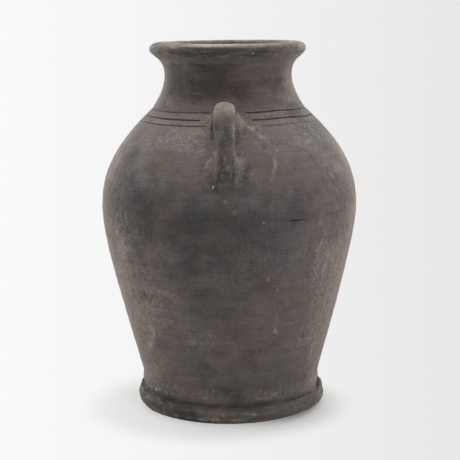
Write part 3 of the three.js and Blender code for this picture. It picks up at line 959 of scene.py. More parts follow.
@dataclass(frozen=True)
class MineralGrit:
    """Crushed stone and shell in the clay: tiny, pale and dull, so it catches the eye as specks."""

    name: str = "mineral_grit"
    pale: str = "#cfc8be"
    warm: str = "#a98b70"
    patch: float = 25.0

    def make(self) -> Material:
        """Builds the material.

        Returns:
            The material, paler and warmer by turns over the object's length.
        """
        material = bpy.data.materials.new(self.name)
        tree = cleared(material)
        place = add(tree, "ShaderNodeTexCoord").outputs["Object"]
        noise = add(tree, "ShaderNodeTexNoise", {"Vector": place, "Scale": 1 / (self.patch * MM)})
        factor = add(tree, "ShaderNodeMapRange", (noise, 0.66, 0.8))
        inputs = {0: factor, 6: linear(self.pale), 7: linear(self.warm)}
        colour = add(tree, "ShaderNodeMix", inputs, data_type="RGBA")
        grain = add(tree, "ShaderNodeBsdfPrincipled", {"Base Color": colour, "Roughness": 0.8})
        add(tree, "ShaderNodeOutputMaterial", {"Surface": grain})
        return material


# Geometry Nodes trees.


@dataclass
class Tree:
    """A Geometry Nodes tree with named inputs, and the way to run it on a path."""

    name: str
    counts: tuple
    sizes: tuple
    graph: NodeTree = field(init=False)
    given: object = field(init=False)

    def __post_init__(self) -> None:
        """Makes the tree's interface."""
        self.graph = bpy.data.node_groups.new(self.name, "GeometryNodeTree")
        sockets = {"Geometry": "Geometry"} | dict.fromkeys(self.counts, "Int")
        sockets |= dict.fromkeys(self.sizes, "Float") | {"Material": "Material"}
        panel = self.graph.interface
        for label, kind in sockets.items():
            panel.new_socket(label, in_out="INPUT", socket_type=f"NodeSocket{kind}")
        panel.new_socket("Geometry", in_out="OUTPUT", socket_type="NodeSocketGeometry")
        self.given = add(self.graph, "NodeGroupInput").outputs

    def sample(self, label: str, row: object, kind: str = "FLOAT") -> Node:
        """Reads an attribute of the path.

        Args:
            label: the attribute's name.
            row: the point that it is read at.
            kind: the attribute's type.

        Returns:
            The node that gives it.
        """
        named = add(self.graph, "GeometryNodeInputNamedAttribute", {"Name": label}, data_type=kind)
        wanted = {"Geometry": self.given["Geometry"], "Value": named, "Index": row}
        return add(self.graph, "GeometryNodeSampleIndex", wanted, data_type=kind, domain="POINT")

    def lattice(self, columns: object, closing: object) -> tuple:
        """Adds a lattice with a row of cells for each point of the path.

        Args:
            columns: how many cells each row has.
            closing: how many rows are added after the last to close the path, 0 or 1.

        Returns:
            The lattice, and the row and the turn of each of its points, the turn in radians.
        """
        numbers = partial(chain, self.graph, Sums.NUMBERS)
        rows = add(self.graph, "GeometryNodeAttributeDomainSize", (self.given["Geometry"],))
        tall, wide = numbers(rows, ("ADD", closing)), numbers(columns, ("ADD", 1.0))
        grid = add(self.graph, "GeometryNodeMeshGrid", {"Vertices X": wide, "Vertices Y": tall})
        index = add(self.graph, "GeometryNodeInputIndex")
        column = numbers(index, ("DIVIDE", tall), ("FLOOR",))
        before = numbers(column, ("MULTIPLY", tall))
        row = numbers(index, ("SUBTRACT", before), ("FLOORED_MODULO", rows))
        return grid, row, numbers(column, ("DIVIDE", columns), ("MULTIPLY", 2 * math.pi))

    def close(self, mesh: object, position: object, row: object) -> None:
        """Moves the lattice into place, welds it, and ends the tree.

        Args:
            mesh: the lattice.
            position: where its points go.
            row: their rows, kept as an attribute for the marks that come later.
        """
        kept = {"Geometry": mesh, "Name": "row", "Value": row}
        mesh = add(self.graph, "GeometryNodeStoreNamedAttribute", kept, data_type="FLOAT", domain="POINT")
        steps = {"SetPosition": {"Position": position}, "MergeByDistance": {"Distance": 2e-6}}
        steps["SetShadeSmooth"] = {}
        for kind, inputs in steps.items():
            mesh = add(self.graph, f"GeometryNode{kind}", {"Geometry": mesh, **inputs})
        self.finish(mesh)

    def finish(self, mesh: object) -> None:
        """Ends the tree in Realize Instances and Set Material.

        Args:
            mesh: what the tree has made.
        """
        mesh = add(self.graph, "GeometryNodeRealizeInstances", {"Geometry": mesh})
        dressed = {"Geometry": mesh, "Material": self.given["Material"]}
        add(self.graph, "NodeGroupOutput", (add(self.graph, "GeometryNodeSetMaterial", dressed),))

    def run(self, name: str, points: Array, attributes: dict, values: dict) -> Object:
        """Runs the tree on a path and keeps its result as a plain mesh.

        Args:
            name: the new object's name.
            points: the path's points, in mm.
            attributes: arrays of numbers or of vectors, one value for each point.
            values: what the tree's named inputs get.

        Returns:
            The object, with the modifier removed.
        """
        path = bpy.data.meshes.new(f"{name}_path")
        path.from_pydata((points * MM).tolist(), [(i, i + 1) for i in range(len(points) - 1)], [])
        for label, array in attributes.items():
            kind, slot = ("FLOAT_VECTOR", "vector") if array.ndim == 2 else ("FLOAT", "value")
            path.attributes.new(label, kind, "POINT").data.foreach_set(slot, array.astype(np.float32).ravel())
        made = show(name, path)
        modifier = made.modifiers.new(self.name, "NODES")
        modifier.node_group = self.graph
        for item in self.graph.interface.items_tree:
            if item.in_out == "INPUT" and item.name in values:
                modifier[item.identifier] = values[item.name]
        result = bpy.data.meshes.new_from_object(made.evaluated_get(bpy.context.evaluated_depsgraph_get()))
        made.modifiers.clear()
        made.data = result
        result.name = name
        bpy.data.meshes.remove(path)
        return made


def turning_tree() -> Tree:
    """Makes the tree that turns a profile round the axis.

    Returns:
        The tree, with throwing rings and a hand's unevenness.
    """
    rings = ("Ring Run", "Ring Spacing", "Ring Height", 2.0)
    swaying = ("Sway Size", "Sway Size", "Sway", 1.0)
    tree = Tree("turned_section", ("Segments", "Closing Rows"), (*rings[:3], "Sway", "Sway Size", "Seed"))
    graph, given = tree.graph, tree.given
    numbers, vectors = (partial(chain, graph, sums) for sums in Sums)
    mesh, row, turn = tree.lattice(given["Segments"], given["Closing Rows"])
    swing, pull = numbers(turn, ("SINE",)), numbers(turn, ("COSINE",), ("MULTIPLY", -1.0))
    spun = []
    for label in ("place", "outward"):
        axes = add(graph, "ShaderNodeSeparateXYZ", (tree.sample(label, row, "FLOAT_VECTOR"),)).outputs
        x, y = numbers(axes[0], ("MULTIPLY", swing)), numbers(axes[0], ("MULTIPLY", pull))
        spun.append(add(graph, "ShaderNodeCombineXYZ", (x, y, axes[2])))
    rises = []
    for across, up, height, detail in (rings, swaying):
        size = add(graph, "ShaderNodeCombineXYZ", (given[across], given[across], given[up]))
        where = chain(graph, Sums.VECTORS, spun[0], ("DIVIDE", size), ("ADD", given["Seed"]))
        noise = add(graph, "ShaderNodeTexNoise", {"Vector": where, "Scale": 1.0, "Detail": detail})
        rises.append(numbers(noise, ("MULTIPLY_ADD", 2.0, -1.0), ("MULTIPLY", given[height])))
    rise = numbers(rises[0], ("MULTIPLY", tree.sample("ringed", row)), ("ADD", rises[1]))
    tree.close(mesh, vectors(spun[1], ("MULTIPLY", rise), ("ADD", spun[0])), row)
    return tree


def pulling_tree() -> Tree:
    """Makes the tree that draws a strap along a path.

    Returns:
        The tree, with a rounded section and a finger's groove.
    """
    sizes = ("Groove Depth", "Groove Sharpness", "Unevenness", "Unevenness Size", "Seed")
    tree = Tree("pulled_strap", ("Sides",), sizes)
    graph, given = tree.graph, tree.given
    numbers, vectors = (partial(chain, graph, sums) for sums in Sums)
    mesh, row, turn = tree.lattice(given["Sides"], 0.0)
    power = numbers(2.0, ("DIVIDE", tree.sample("squareness", row)))
    bent = []
    for operation, half in (("COSINE", "half_width"), ("SINE", "half_thickness")):
        wave = numbers(turn, (operation,))
        sign, size = numbers(wave, ("SIGN",)), tree.sample(half, row)
        bent.append(numbers(wave, ("ABSOLUTE",), ("POWER", power), ("MULTIPLY", sign), ("MULTIPLY", size)))
    depth = numbers(given["Groove Depth"], ("MULTIPLY", tree.sample("grooved", row)))
    groove = numbers(wave, ("MAXIMUM", 0.0), ("POWER", given["Groove Sharpness"]), ("MULTIPLY", depth))
    out = numbers(bent[1], ("SUBTRACT", groove))
    side = add(graph, "ShaderNodeCombineXYZ", (bent[0],))
    rise = vectors(tree.sample("outward", row, "FLOAT_VECTOR"), ("MULTIPLY", out))
    position = vectors(tree.sample("place", row, "FLOAT_VECTOR"), ("ADD", side), ("ADD", rise))
    shift = add(graph, "ShaderNodeCombineXYZ", (given["Seed"],))
    where = vectors(position, ("DIVIDE", given["Unevenness Size"]), ("ADD", shift))
    noise = add(graph, "ShaderNodeTexNoise", {"Vector": where, "Scale": 1.0, "Detail": 1.5}).outputs["Color"]
    much = numbers(given["Unevenness"], ("MULTIPLY", tree.sample("shown", row)))
    moved = vectors(noise, ("SUBTRACT", (0.5, 0.5, 0.5)), ("MULTIPLY", much))
    tree.close(mesh, vectors(position, ("ADD", moved)), row)
    return tree


def scattering_tree() -> Tree:
    """Makes the tree that sets a small stone grain on each point of a cloud.

    Returns:
        The tree.
    """
    tree = Tree("scattered_grit", ("Seed",), ("Grain",))
    graph, given = tree.graph, tree.given
    stone = add(graph, "GeometryNodeMeshIcoSphere", {"Radius": given["Grain"], "Subdivisions": 1})
    drawn = []
    for least, most in (((0.55, 0.55, 0.4), (1.3, 1.0, 0.8)), ((0, 0, 0), (6.28, 6.28, 6.28))):
        inputs = {0: least, 1: most, "Seed": given["Seed"]}
        drawn.append(add(graph, "FunctionNodeRandomValue", inputs, data_type="FLOAT_VECTOR"))
    grade = add(graph, "GeometryNodeInputNamedAttribute", {"Name": "grade"}, data_type="FLOAT")
    size = chain(graph, Sums.VECTORS, drawn[0], ("MULTIPLY", grade))
    inputs = {"Points": given["Geometry"], "Instance": stone, "Rotation": drawn[1], "Scale": size}
    tree.finish(add(graph, "GeometryNodeInstanceOnPoints", inputs))
    return tree


# Meshes.


def read_points(mesh: Mesh) -> Array:
    """A mesh's points.

    Args:
        mesh: the mesh.

    Returns:
        Its points, in mm.
    """
    flat = np.empty(len(mesh.vertices) * 3)
    mesh.vertices.foreach_get("co", flat)
    return flat.reshape(-1, 3) / MM


def write_points(mesh: Mesh, points: Array) -> None:
    """Moves a mesh's points, given in mm."""
    mesh.vertices.foreach_set("co", (points * MM).ravel())
    mesh.update()


def angles(points: Array) -> Array:
    """The angle of each point round the axis, in degrees from the front towards +X."""
    return np.degrees(np.arctan2(points[:, 0], -points[:, 1]))


def around(pairs: Array, turn: Array) -> Array:
    """Turns pairs of radius and height round the axis to angles in radians."""
    return np.stack([pairs[:, 0] * np.sin(turn), -pairs[:, 0] * np.cos(turn), pairs[:, 1]], -1)


def located(points: Array) -> Spots:
    """Points with their angles and heights."""
    return Spots(angles(points), points[:, 2], points)


def show(name: str, data: ID) -> Object:
    """Puts a mesh, a lamp or a camera into the scene.

    Args:
        name: the new object's name.
        data: what it shows.

    Returns:
        The object.
    """
    made = bpy.data.objects.new(name, data)
    bpy.context.scene.collection.objects.link(made)
    return made


def face_out(mesh: Mesh) -> None:
    """Turns a closed mesh's faces outwards, by the sign of its volume.

    Args:
        mesh: the mesh.
    """
    mesh.calc_loop_triangles()
    corners = np.empty(len(mesh.loop_triangles) * 3, np.int32)
    mesh.loop_triangles.foreach_get("vertices", corners)
    a, b, c = read_points(mesh)[corners.reshape(-1, 3)].transpose(1, 0, 2)
    if np.einsum("ij,ij->i", a, np.cross(b, c)).sum() < 0:
        mesh.flip_normals()


def paint(mesh: Mesh, tones: Array, warmth: Array | None = None) -> None:
    """Writes the fields that the finishes read.

    Args:
        mesh: the mesh that gets them.
        tones: the tone channels, as its colour attribute.
        warmth: the warmth, as a number beside it.
    """
    layer = mesh.color_attributes.new(TONES, "FLOAT_COLOR", "POINT")
    layer.data.foreach_set("color", np.clip(tones, 0, 1).astype(np.float32).ravel())
    if warmth is not None:
        layer = mesh.attributes.new(WARMTH, "FLOAT", "POINT")
        layer.data.foreach_set("value", warmth.astype(np.float32))


def settle(piece: Object, node: str, crease: float = 48.0) -> Object:
    """Finishes a piece.

    Args:
        piece: the object.
        node: the CAD node that it stands for.
        crease: the least angle of an edge that is shown sharp, in degrees.

    Returns:
        The same object.
    """
    mesh = piece.data
    face_out(mesh)
    for name in ("row", "place", "outward", "ringed"):
        if name in mesh.attributes:
            mesh.attributes.remove(mesh.attributes[name])
    mesh.set_sharp_from_angle(angle=math.radians(crease))
    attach(piece, BODY)
    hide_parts(node)
    LOG.info("%s: %d points, %d faces", piece.name, len(mesh.vertices), len(mesh.polygons))
    return piece


# The turned pieces.


@dataclass
class Profile:
    """A closed section through one turned piece, with the direction each point is pushed in."""

    places: list = field(default_factory=list)
    normals: list = field(default_factory=list)
    weights: list = field(default_factory=list)

    def put(self, places: Array, normals: Array, weight: float) -> None:
        """Adds points.

        Args:
            places: the points, as radius and height.
            normals: the direction that each is pushed in.
            weight: how strongly throwing rings show there.
        """
        self.places.append(places)
        self.normals.append(normals)
        self.weights.append(np.full(len(places), weight))

    def flat(self, start: tuple, end: tuple, count: int) -> None:
        """Adds points between two corners, both left out, which nothing pushes.

        Args:
            start: the first corner, as radius and height.
            end: the second corner.
            count: how many points it gets.
        """
        share = np.linspace(0, 1, count + 2)[1:-1, None]
        self.put(np.array(start) * (1 - share) + np.array(end) * share, np.zeros((count, 2)), 0.0)

    def arrays(self) -> tuple:
        """All points, directions and weights."""
        return np.vstack(self.places), np.vstack(self.normals), np.concatenate(self.weights)


@dataclass
class TurnedPiece:
    """One thrown or coiled section of the vessel, turned round the axis."""

    name: str
    node: str
    slot: str
    skin: Skin
    tree: Tree
    material: Material
    segments: int = 432
    ring_height: float = 0.26
    ring_spacing: float = 7.5
    ring_run: float = 150.0
    sway: float = 0.8
    sway_size: float = 130.0
    mouth_tilt: float = 0.14
    box_radius: float = 132.15
    box_top: float = 379.98

    def profile(self) -> Profile:
        """The section through the piece."""
        raise NotImplementedError

    @property
    def closing_rows(self) -> int:
        """1 where the profile is a closed loop, 0 where it starts and ends on the axis."""
        return 1

    def build(self) -> Object:
        """Turns the piece, presses its marks in and settles it.

        Returns:
            The piece.
        """
        places, normals, ringed = self.profile().arrays()
        path, outward = (np.insert(pairs, 1, 0, axis=1) for pairs in (places, normals))
        values = {
            "Segments": self.segments,
            "Closing Rows": self.closing_rows,
            "Ring Height": self.ring_height * MM,
            "Ring Spacing": self.ring_spacing * MM,
            "Ring Run": self.ring_run * MM,
            "Sway": self.sway * MM,
            "Sway Size": self.sway_size * MM,
            "Seed": 4.7,
            "Material": self.material,
        }
        attributes = {"place": path * MM, "outward": outward, "ringed": ringed}
        piece = self.tree.run(self.name, path, attributes, values)
        rows = np.empty(len(piece.data.vertices), np.float32)
        piece.data.attributes["row"].data.foreach_get("value", rows)
        rows = rows.round().astype(int)
        points = read_points(piece.data)
        angle, outer = angles(points), self.outer_share(places)[rows]
        rise = self.skin.lift(located(points)) * outer
        points += rise[:, None] * around(normals[rows], np.radians(angle))
        self.hang(points)
        self.keep_in(points)
        write_points(piece.data, points)
        at = Spots(angle, points[:, 2], points)
        tones = self.skin.tones(at)
        tones[outer < 0.5] = self.inside_tones(points[outer < 0.5])
        paint(piece.data, tones, self.skin.warmth(at) * outer)
        return settle(piece, self.node)

    def outer_share(self, places: Array) -> Array:
        """1 for the points of the profile that are outside the vessel, else 0."""
        return (places[:, 0] > self.skin.outline.radius(places[:, 1]) - 0.5).astype(float)

    def inside_tones(self, points: Array) -> Array:
        """The tones of the bore and the joints, which the wash hardly reached.

        Args:
            points: the points, in mm.

        Returns:
            Four channels from 0 to 1, in the order of Tone.
        """
        found, char, tan, dust, _ = no_tones(len(points))
        deep = 1 - smooth(points[:, 2], 250, 380)
        char += 0.3 + 0.4 * deep
        tan += 0.4 * (1 - deep)
        dust += 0.55 * smooth(points[:, 2], 374, 379) * (1 - 0.25 * smooth(points[:, 1], -20, 20))
        return found

    def hang(self, points: Array) -> None:
        """Tilts the mouth a little, as the pot was bent when it was lifted off the wheel.

        Args:
            points: the points, in mm, which are moved.
        """
        slant = math.tan(math.radians(self.mouth_tilt))
        points[:, 2] += smooth(points[:, 2], 318, 364) * slant * (points[:, 0] - 79.5)
        points[:, 0] += self.skin.lean(points[:, 2])

    def keep_in(self, points: Array) -> None:
        """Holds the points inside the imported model's box.

        Args:
            points: the points, in mm, which are moved.
        """
        points[:, :2] *= np.minimum(1, self.box_radius / np.maximum(from_axis(points), 1))[:, None]
        points[:, 2] = np.clip(points[:, 2], 0, self.box_top)


@dataclass
class Wall(TurnedPiece):
    """A section of the thrown wall between two joints."""

    low: float = 0.0
    high: float = 0.0
    zones: tuple = ()
    bore_step: float = 3.2

    def profile(self) -> Profile:
        """The section, up the outside, in over the joint and down the bore.

        Returns:
            The section.
        """
        outline, profile = self.skin.outline, Profile()
        heights = np.unique(np.concatenate([outline.heights(*zone) for zone in self.zones]).round(5))
        profile.put(np.stack([outline.radius(heights), heights], -1), outline.normal(heights), 1.0)
        top, bottom = np.array(self.high), np.array(self.low)
        profile.flat((outline.radius(top), top), (outline.bore(top), top), 2)
        heights = outline.heights(self.low, self.high, self.bore_step)[::-1]
        profile.put(np.stack([outline.bore(heights), heights], -1), -outline.normal(heights), 2.2)
        profile.flat((outline.bore(bottom), bottom), (outline.radius(bottom), bottom), 2)
        return profile


@dataclass
class Lip(TurnedPiece):
    """The rolled lip."""

    seat_z: float = 364.0
    top_z: float = 380.0
    radius: float = 80.2
    width: float = 18.5
    outer_round: float = 6.0
    round_in: float = 10.0
    belly_z: float = 372.0
    under_z: float = 370.3
    mouth_round: float = 3.6

    def profile(self) -> Profile:
        """The section, from the seat round the roll and down into the mouth.

        Returns:
            The section.
        """
        outline, profile = self.skin.outline, Profile()
        widest = self.top_z - self.outer_round
        seat = np.array(self.seat_z)
        turn = np.linspace(0, np.pi / 2, 22)[1:, None]
        sweep = (self.round_in, self.outer_round) * np.hstack([np.cos(turn), np.sin(turn)])
        roll = (self.radius - self.round_in, widest) + sweep
        edge = np.array([self.radius - self.width + self.mouth_round, self.top_z - self.mouth_round])
        inner = edge + self.mouth_round * np.hstack([-np.sin(turn), np.cos(turn)])
        seat_edge, belly = (outline.seat_radius, self.seat_z), (self.radius, self.belly_z)
        under = bezier(seat_edge, (self.radius, self.under_z), belly, count=16)
        face = np.linspace(belly, (self.radius, widest), 6)[1:]
        land = np.linspace(roll[-1], edge + (0, self.mouth_round), 8)[1:]
        bore = np.linspace(inner[-1], (outline.bore(seat), self.seat_z), 16)[1:]
        line = np.vstack([under, face, roll, land, inner, bore])
        normals = square_to(line)
        normals[0], normals[-1] = outline.normal(seat), -outline.normal(seat)
        profile.places, profile.normals = [line], [normals]
        profile.weights = [np.linspace(1.0, 2.2, len(line))]
        profile.flat(line[-1], line[0], 2)
        return profile

    def outer_share(self, places: Array) -> Array:
        """1 from the seat to the mouth's edge.

        Args:
            places: the section's points.

        Returns:
            1 for each point that is outside, else 0.
        """
        mouth = self.radius - self.width + self.mouth_round
        high = places[:, 1] > self.top_z - self.mouth_round
        outer = places[:, 0] > self.skin.outline.seat_radius - 0.5
        return ((places[:, 0] > mouth + 1) & (high | outer)).astype(float)


@dataclass
class Foot(TurnedPiece):
    """The coil of clay wrapped round the base."""

    height: float = 21.3
    wide: float = 98.5
    stand: float = 84.0
    lap: float = 74.4
    inside: float = 92.7
    shoulder: float = 3.4
    recess: float = 3.0
    slip: float = 0.6

    def profile(self) -> Profile:
        """The section, from the stand round the coil and down inside it.

        Returns:
            The section.
        """
        profile = Profile()
        widest, crown = (self.wide, self.height * 0.59), (self.inside, self.height)
        curl = self.stand + 0.66 * (self.wide - self.stand)
        below = bezier((self.stand, 0), (curl, 0), (self.wide, self.height * 0.22), widest, count=30)
        high = (self.wide, self.height * 0.8), (self.inside + self.shoulder, self.height)
        line = np.vstack([below, bezier(widest, *high, crown, count=22)[1:]])
        profile.put(line, square_to(line) * smooth(line[:, 1:], 1, 8), 1.0)
        profile.flat(crown, (self.inside, self.recess), 8)
        corners = np.array([(self.inside, self.recess), (self.lap, self.recess), (self.lap, 0)], float)
        for start, end in zip(corners[:-1], corners[1:]):
            profile.put(start[None], np.zeros((1, 2)), 0.0)
            profile.flat(start, end, 5)
        profile.put(corners[-1:], np.zeros((1, 2)), 0.0)
        profile.flat((self.lap, 0), (self.stand, 0), 6)
        return profile

    def outer_share(self, places: Array) -> Array:
        """1 on the coil's rounded outside, else 0."""
        curled = (places[:, 1] < self.recess - 0.1) & (places[:, 0] > self.stand + 0.1)
        return ((places[:, 0] > self.inside + 0.5) | curled).astype(float)

    def hang(self, points: Array) -> None:
        """Presses the coil's upper edge down to the crease's path, and slips the coil to the right.

        Args:
            points: the points, in mm, which are moved.
        """
        radius, angle = from_axis(points), angles(points)
        drop = self.height - self.skin.crease(angle)
        drop += 1.5 * (1 - smooth(radius, self.inside, self.inside + self.shoulder))
        points[:, 2] -= drop * smooth(points[:, 2], 10, self.height)
        points[:, 0] += self.slip * smooth(radius, self.stand, self.stand + 8)
        angle = angles(points)
        raised = 0.9 * bell(apart(angle, 28), 38) + 0.4 * bell(apart(angle, -30), 25)
        raised += 0.8 * bell(apart(angle, 52), 17)
        raised *= smooth(radius, self.stand, self.stand + 6)
        points[:, 2] += raised * (1 - smooth(points[:, 2], 5, 13))

    def inside_tones(self, points: Array) -> Array:
        """The coil's underside is bare where it stands."""
        return np.tile((0, 0.7, 0, 0), (len(points), 1))


@dataclass
class FloorSlab(TurnedPiece):
    """The slab that closes the bottom, with the spiral a thumb left on it while throwing."""

    radius: float = 92.4
    recess: float = 3.0
    top: float = 13.0
    spiral_height: float = 0.9
    spiral_pitch: float = 9.0
    spiral_reach: float = 82.0
    wire_height: float = 0.35
    wire_pitch: float = 6.5
    wire_reach: float = 73.5

    @property
    def closing_rows(self) -> int:
        """The slab's profile starts and ends on the axis."""
        return 0

    def profile(self) -> Profile:
        """The section, out along the underside, up the edge and in along the top.

        Returns:
            The section.
        """
        profile = Profile()
        for start, end, height, count in ((0, self.radius, self.recess, 40), (self.radius, 0, self.top, 90)):
            level = np.stack([np.linspace(start, end, count), np.full(count, height)], -1)
            profile.put(level, np.zeros((count, 2)), 0.0)
            if end:
                profile.flat((self.radius, self.recess), (self.radius, self.top), 3)
        return profile

    def outer_share(self, places: Array) -> Array:
        """No part of the slab is outside the vessel."""
        return np.zeros(len(places))

    def hang(self, points: Array) -> None:
        """Presses the thumb's spiral into the top and the cutting wire's lines into the underside.

        Args:
            points: the points, in mm, which are moved.
        """
        radius = from_axis(points)
        phase = 2 * np.pi * radius / self.spiral_pitch + np.radians(angles(points))
        above = (points[:, 2] > self.top - 0.1) & (radius < self.spiral_reach)
        points[:, 2] -= above * self.spiral_height * (0.5 - 0.5 * np.cos(phase)) * smooth(radius, 0, 10)
        below = (points[:, 2] < self.recess + 0.1) & (radius < self.wire_reach)
        arc = np.hypot(points[:, 0] + 160, points[:, 1] - 30)
        points[:, 2] += below * self.wire_height * (0.5 + 0.5 * np.sin(2 * np.pi * arc / self.wire_pitch))


# The handles.


@dataclass
class Strap:
    """A small pulled strap handle, which arches out of the shoulder and dies in the wall."""

    side: Side
    outline: Outline
    thickness: float = 10.6
    crest_width: float = 20.8
    leg_width: float = 16.2
    root_width: float = 17.0
    arch_z: float = 301.2
    foot_z: float = 247.8
    root_radius: float = 83.2
    tail: float = 9.0
    lean: float = 1.8
    dome: float = 0.16
    groove_depth: float = 1.2
    sunk: float = 3.2
    corner: float = 3.6
    stations: int = 96
    sides: int = 56
    centres: Array = field(init=False)
    outs: Array = field(init=False)
    halves: Array = field(init=False)
    leans: Array = field(init=False)

    def __post_init__(self) -> None:
        """Lays out the stations along the strap's centre line, as radius and height."""
        leg = float(self.outline.radius(self.foot_z)) - self.thickness / 2
        arch = (leg - self.root_radius) / 2
        turn = np.linspace(np.pi, 0, 60)
        root = np.linspace((self.root_radius, self.arch_z - self.tail), (self.root_radius, self.arch_z), 12)
        bend = (leg - arch, self.arch_z) + arch * np.stack([np.cos(turn), np.sin(turn)], -1)
        fall = np.linspace((leg, self.arch_z), (leg, self.foot_z - self.tail), 60)
        line = np.vstack([root, bend[1:], fall[1:]])
        run = np.concatenate([[0], np.cumsum(np.hypot(*np.diff(line, axis=0).T))])
        even = np.linspace(0, run[-1], self.stations)
        self.centres = np.stack([np.interp(even, run, line[:, 0]), np.interp(even, run, line[:, 1])], -1)
        self.outs = -square_to(self.centres)
        crest = self.arch_z + arch
        waist = self.foot_z + 0.35 * (self.arch_z - self.foot_z)
        height = self.centres[:, 1]
        down = even > self.tail + arch * np.pi / 2
        narrowed = smooth(crest - height, 0, crest - waist) * down
        spread = smooth(waist - height, 0, waist - self.foot_z) * down
        width = self.crest_width + (self.leg_width - self.crest_width) * narrowed
        width += (self.root_width - width) * spread
        width *= 1 - self.dome * bell(crest + self.thickness / 2 - height, 6.5)
        self.halves = width / 2
        self.leans = self.lean * smooth(crest - height, 5, 60) * down

    def distance(self, radius: Array, height: Array, across: Array) -> Array:
        """How far points lie from the strap's surface.

        Args:
            radius: their distance from the axis, in mm.
            height: their height, in mm.
            across: how far they lie to the right of the handle's plane, in mm.

        Returns:
            The distances in mm, negative inside the strap.
        """
        gaps = (radius[:, None] - self.centres[:, 0]) ** 2 + (height[:, None] - self.centres[:, 1]) ** 2
        nearest = np.argmin(gaps, axis=1)
        off = np.stack([radius, height], -1) - self.centres[nearest]
        along = np.abs(off[:, 0] * self.outs[nearest, 1] - off[:, 1] * self.outs[nearest, 0])
        out = np.hypot((off * self.outs[nearest]).sum(1), along * 0.5)
        a = np.abs(across - self.leans[nearest]) - (self.halves[nearest] - self.corner)
        b = out - (self.thickness / 2 - self.corner)
        return np.hypot(np.maximum(a, 0), np.maximum(b, 0)) + np.minimum(np.maximum(a, b), 0) - self.corner


    def turned(self, points: Array) -> Array:
        """Turns points from the front to the strap's own side."""
        return points * (self.side.sign, self.side.sign, 1)

    def build(self, tree: Tree, material: Material, skin: Skin) -> Object:
        """Draws the strap and settles it.

        Args:
            tree: the tree that draws a strap.
            material: its finish.
            skin: the marks of the wall.

        Returns:
            The strap.
        """
        station = np.arange(self.stations)
        ends = np.minimum(station, station[::-1]).astype(float)
        closed = np.sqrt(np.clip(ends / 3, 0, 1))
        face = smooth(-self.centres[:, 1], -314, -296) * (station > 40)
        path = np.stack([self.leans, -self.centres[:, 0], self.centres[:, 1]], -1)
        attributes = {
            "place": path * MM,
            "outward": np.stack([np.zeros(self.stations), -self.outs[:, 0], self.outs[:, 1]], -1),
            "half_width": self.halves * closed * MM,
            "half_thickness": self.thickness / 2 * closed * MM,
            "grooved": face,
            "shown": smooth(ends, 6, 14),
            "squareness": 1.9 + 0.5 * face,  # round on the crest, squarer down the leg
        }
        values = {
            "Sides": self.sides,
            "Groove Depth": self.groove_depth * MM,
            "Groove Sharpness": 4.0,
            "Unevenness": 2.2 * MM,
            "Unevenness Size": 17 * MM,
            "Seed": 2.3 if self.side is Side.FRONT else 8.9,
            "Material": material,
        }
        side = self.side.name.lower()
        strap = tree.run(f"strap_{side}", path, attributes, values)
        points = read_points(strap.data)
        radius, height = from_axis(points), points[:, 2]
        deepest = self.outline.radius(height) - self.sunk * np.hypot(1, self.outline.slope(height))
        points[:, :2] *= (np.maximum(radius, deepest) / radius)[:, None]
        offset = points[:, 0] - np.interp(-points[:, 2], -self.centres[50:, 1], self.leans[50:])
        tones = self.tones(points, from_axis(points), offset)
        points[:, 0] += skin.lean(points[:, 2]) * self.side.sign
        write_points(strap.data, self.turned(points))
        paint(strap.data, tones)
        return settle(strap, f"handle_{side}", 60)

    def tones(self, points: Array, radius: Array, offset: Array) -> Array:
        """Pale on the worn crest, and along one edge as a painted highlight; dark in the groove, and down the
        sides and towards the wall as painted shade.

        Args:
            points: the points, in mm, turned to the front.
            radius: their distance from the axis, in mm.
            offset: how far they lie to the right of the strap's middle, in mm.

        Returns:
            Four channels from 0 to 1, in the order of Tone.
        """
        across, height = points[:, 0], points[:, 2]
        smear = Waves(31 + self.side.value, 6, (1, 1, 2.6))(points)
        found, char, tan, dust, shade_and_dirt = no_tones(len(points))
        leg = smooth(radius, 100, 112) * (1 - smooth(height, 296, 314))
        groove = 1 - smooth(np.abs(offset + 1.4 - 1.8 * smooth(height, 280, 294)), 3.0, 6.5)
        face = self.outline.radius(self.foot_z) - 3.2
        sunken = smooth(offset, 0, 4) * (1 - smooth(height, 272, 286))
        # Where the strap faces the wall, which gets painted shade.
        under = (1 - smooth(radius, face - 5, face)) * (1 - smooth(height, 304, 318)) * (1 - 0.75 * sunken)
        lower = (1 - smooth(height, 262, 284)) * smooth(3 - across, 0, 5)
        bend = bell(height - 304, 7)
        char += 0.34 * leg * groove + 0.15 * leg + 0.45 * bend * smooth(-offset, 0, 8)
        # Painted shade on the strap's side faces.
        char += 0.25 * smooth(np.abs(offset), 7.5, 9.5) * (1 - sunken)
        char += 0.12 * lower + 0.3 * leg * smooth(smear, 0.1, 1.1)
        # Painted shade where the strap faces the wall, and along its left side below the arch.
        shade_and_dirt += 0.06 * leg * groove + 0.6 * under + 0.4 * smooth(-offset, 7.4, 9.3) * bell(height - 291, 7)
        dust += 0.5 * smooth(height, 308, 319)
        # The pale line along the right edge is a painted highlight; the rest is wear.
        worn = 0.55 * bell(across - 8.4, 1.3) * leg + 0.4 * leg * smooth(-smear, 0.2, 1.2)
        worn += 0.7 * bell(across - 3.4, 1.5) * bell(height - 264, 3.2) + 0.4 * bend * smooth(offset, 3, 7)
        tan += worn * (1 - under)
        return found


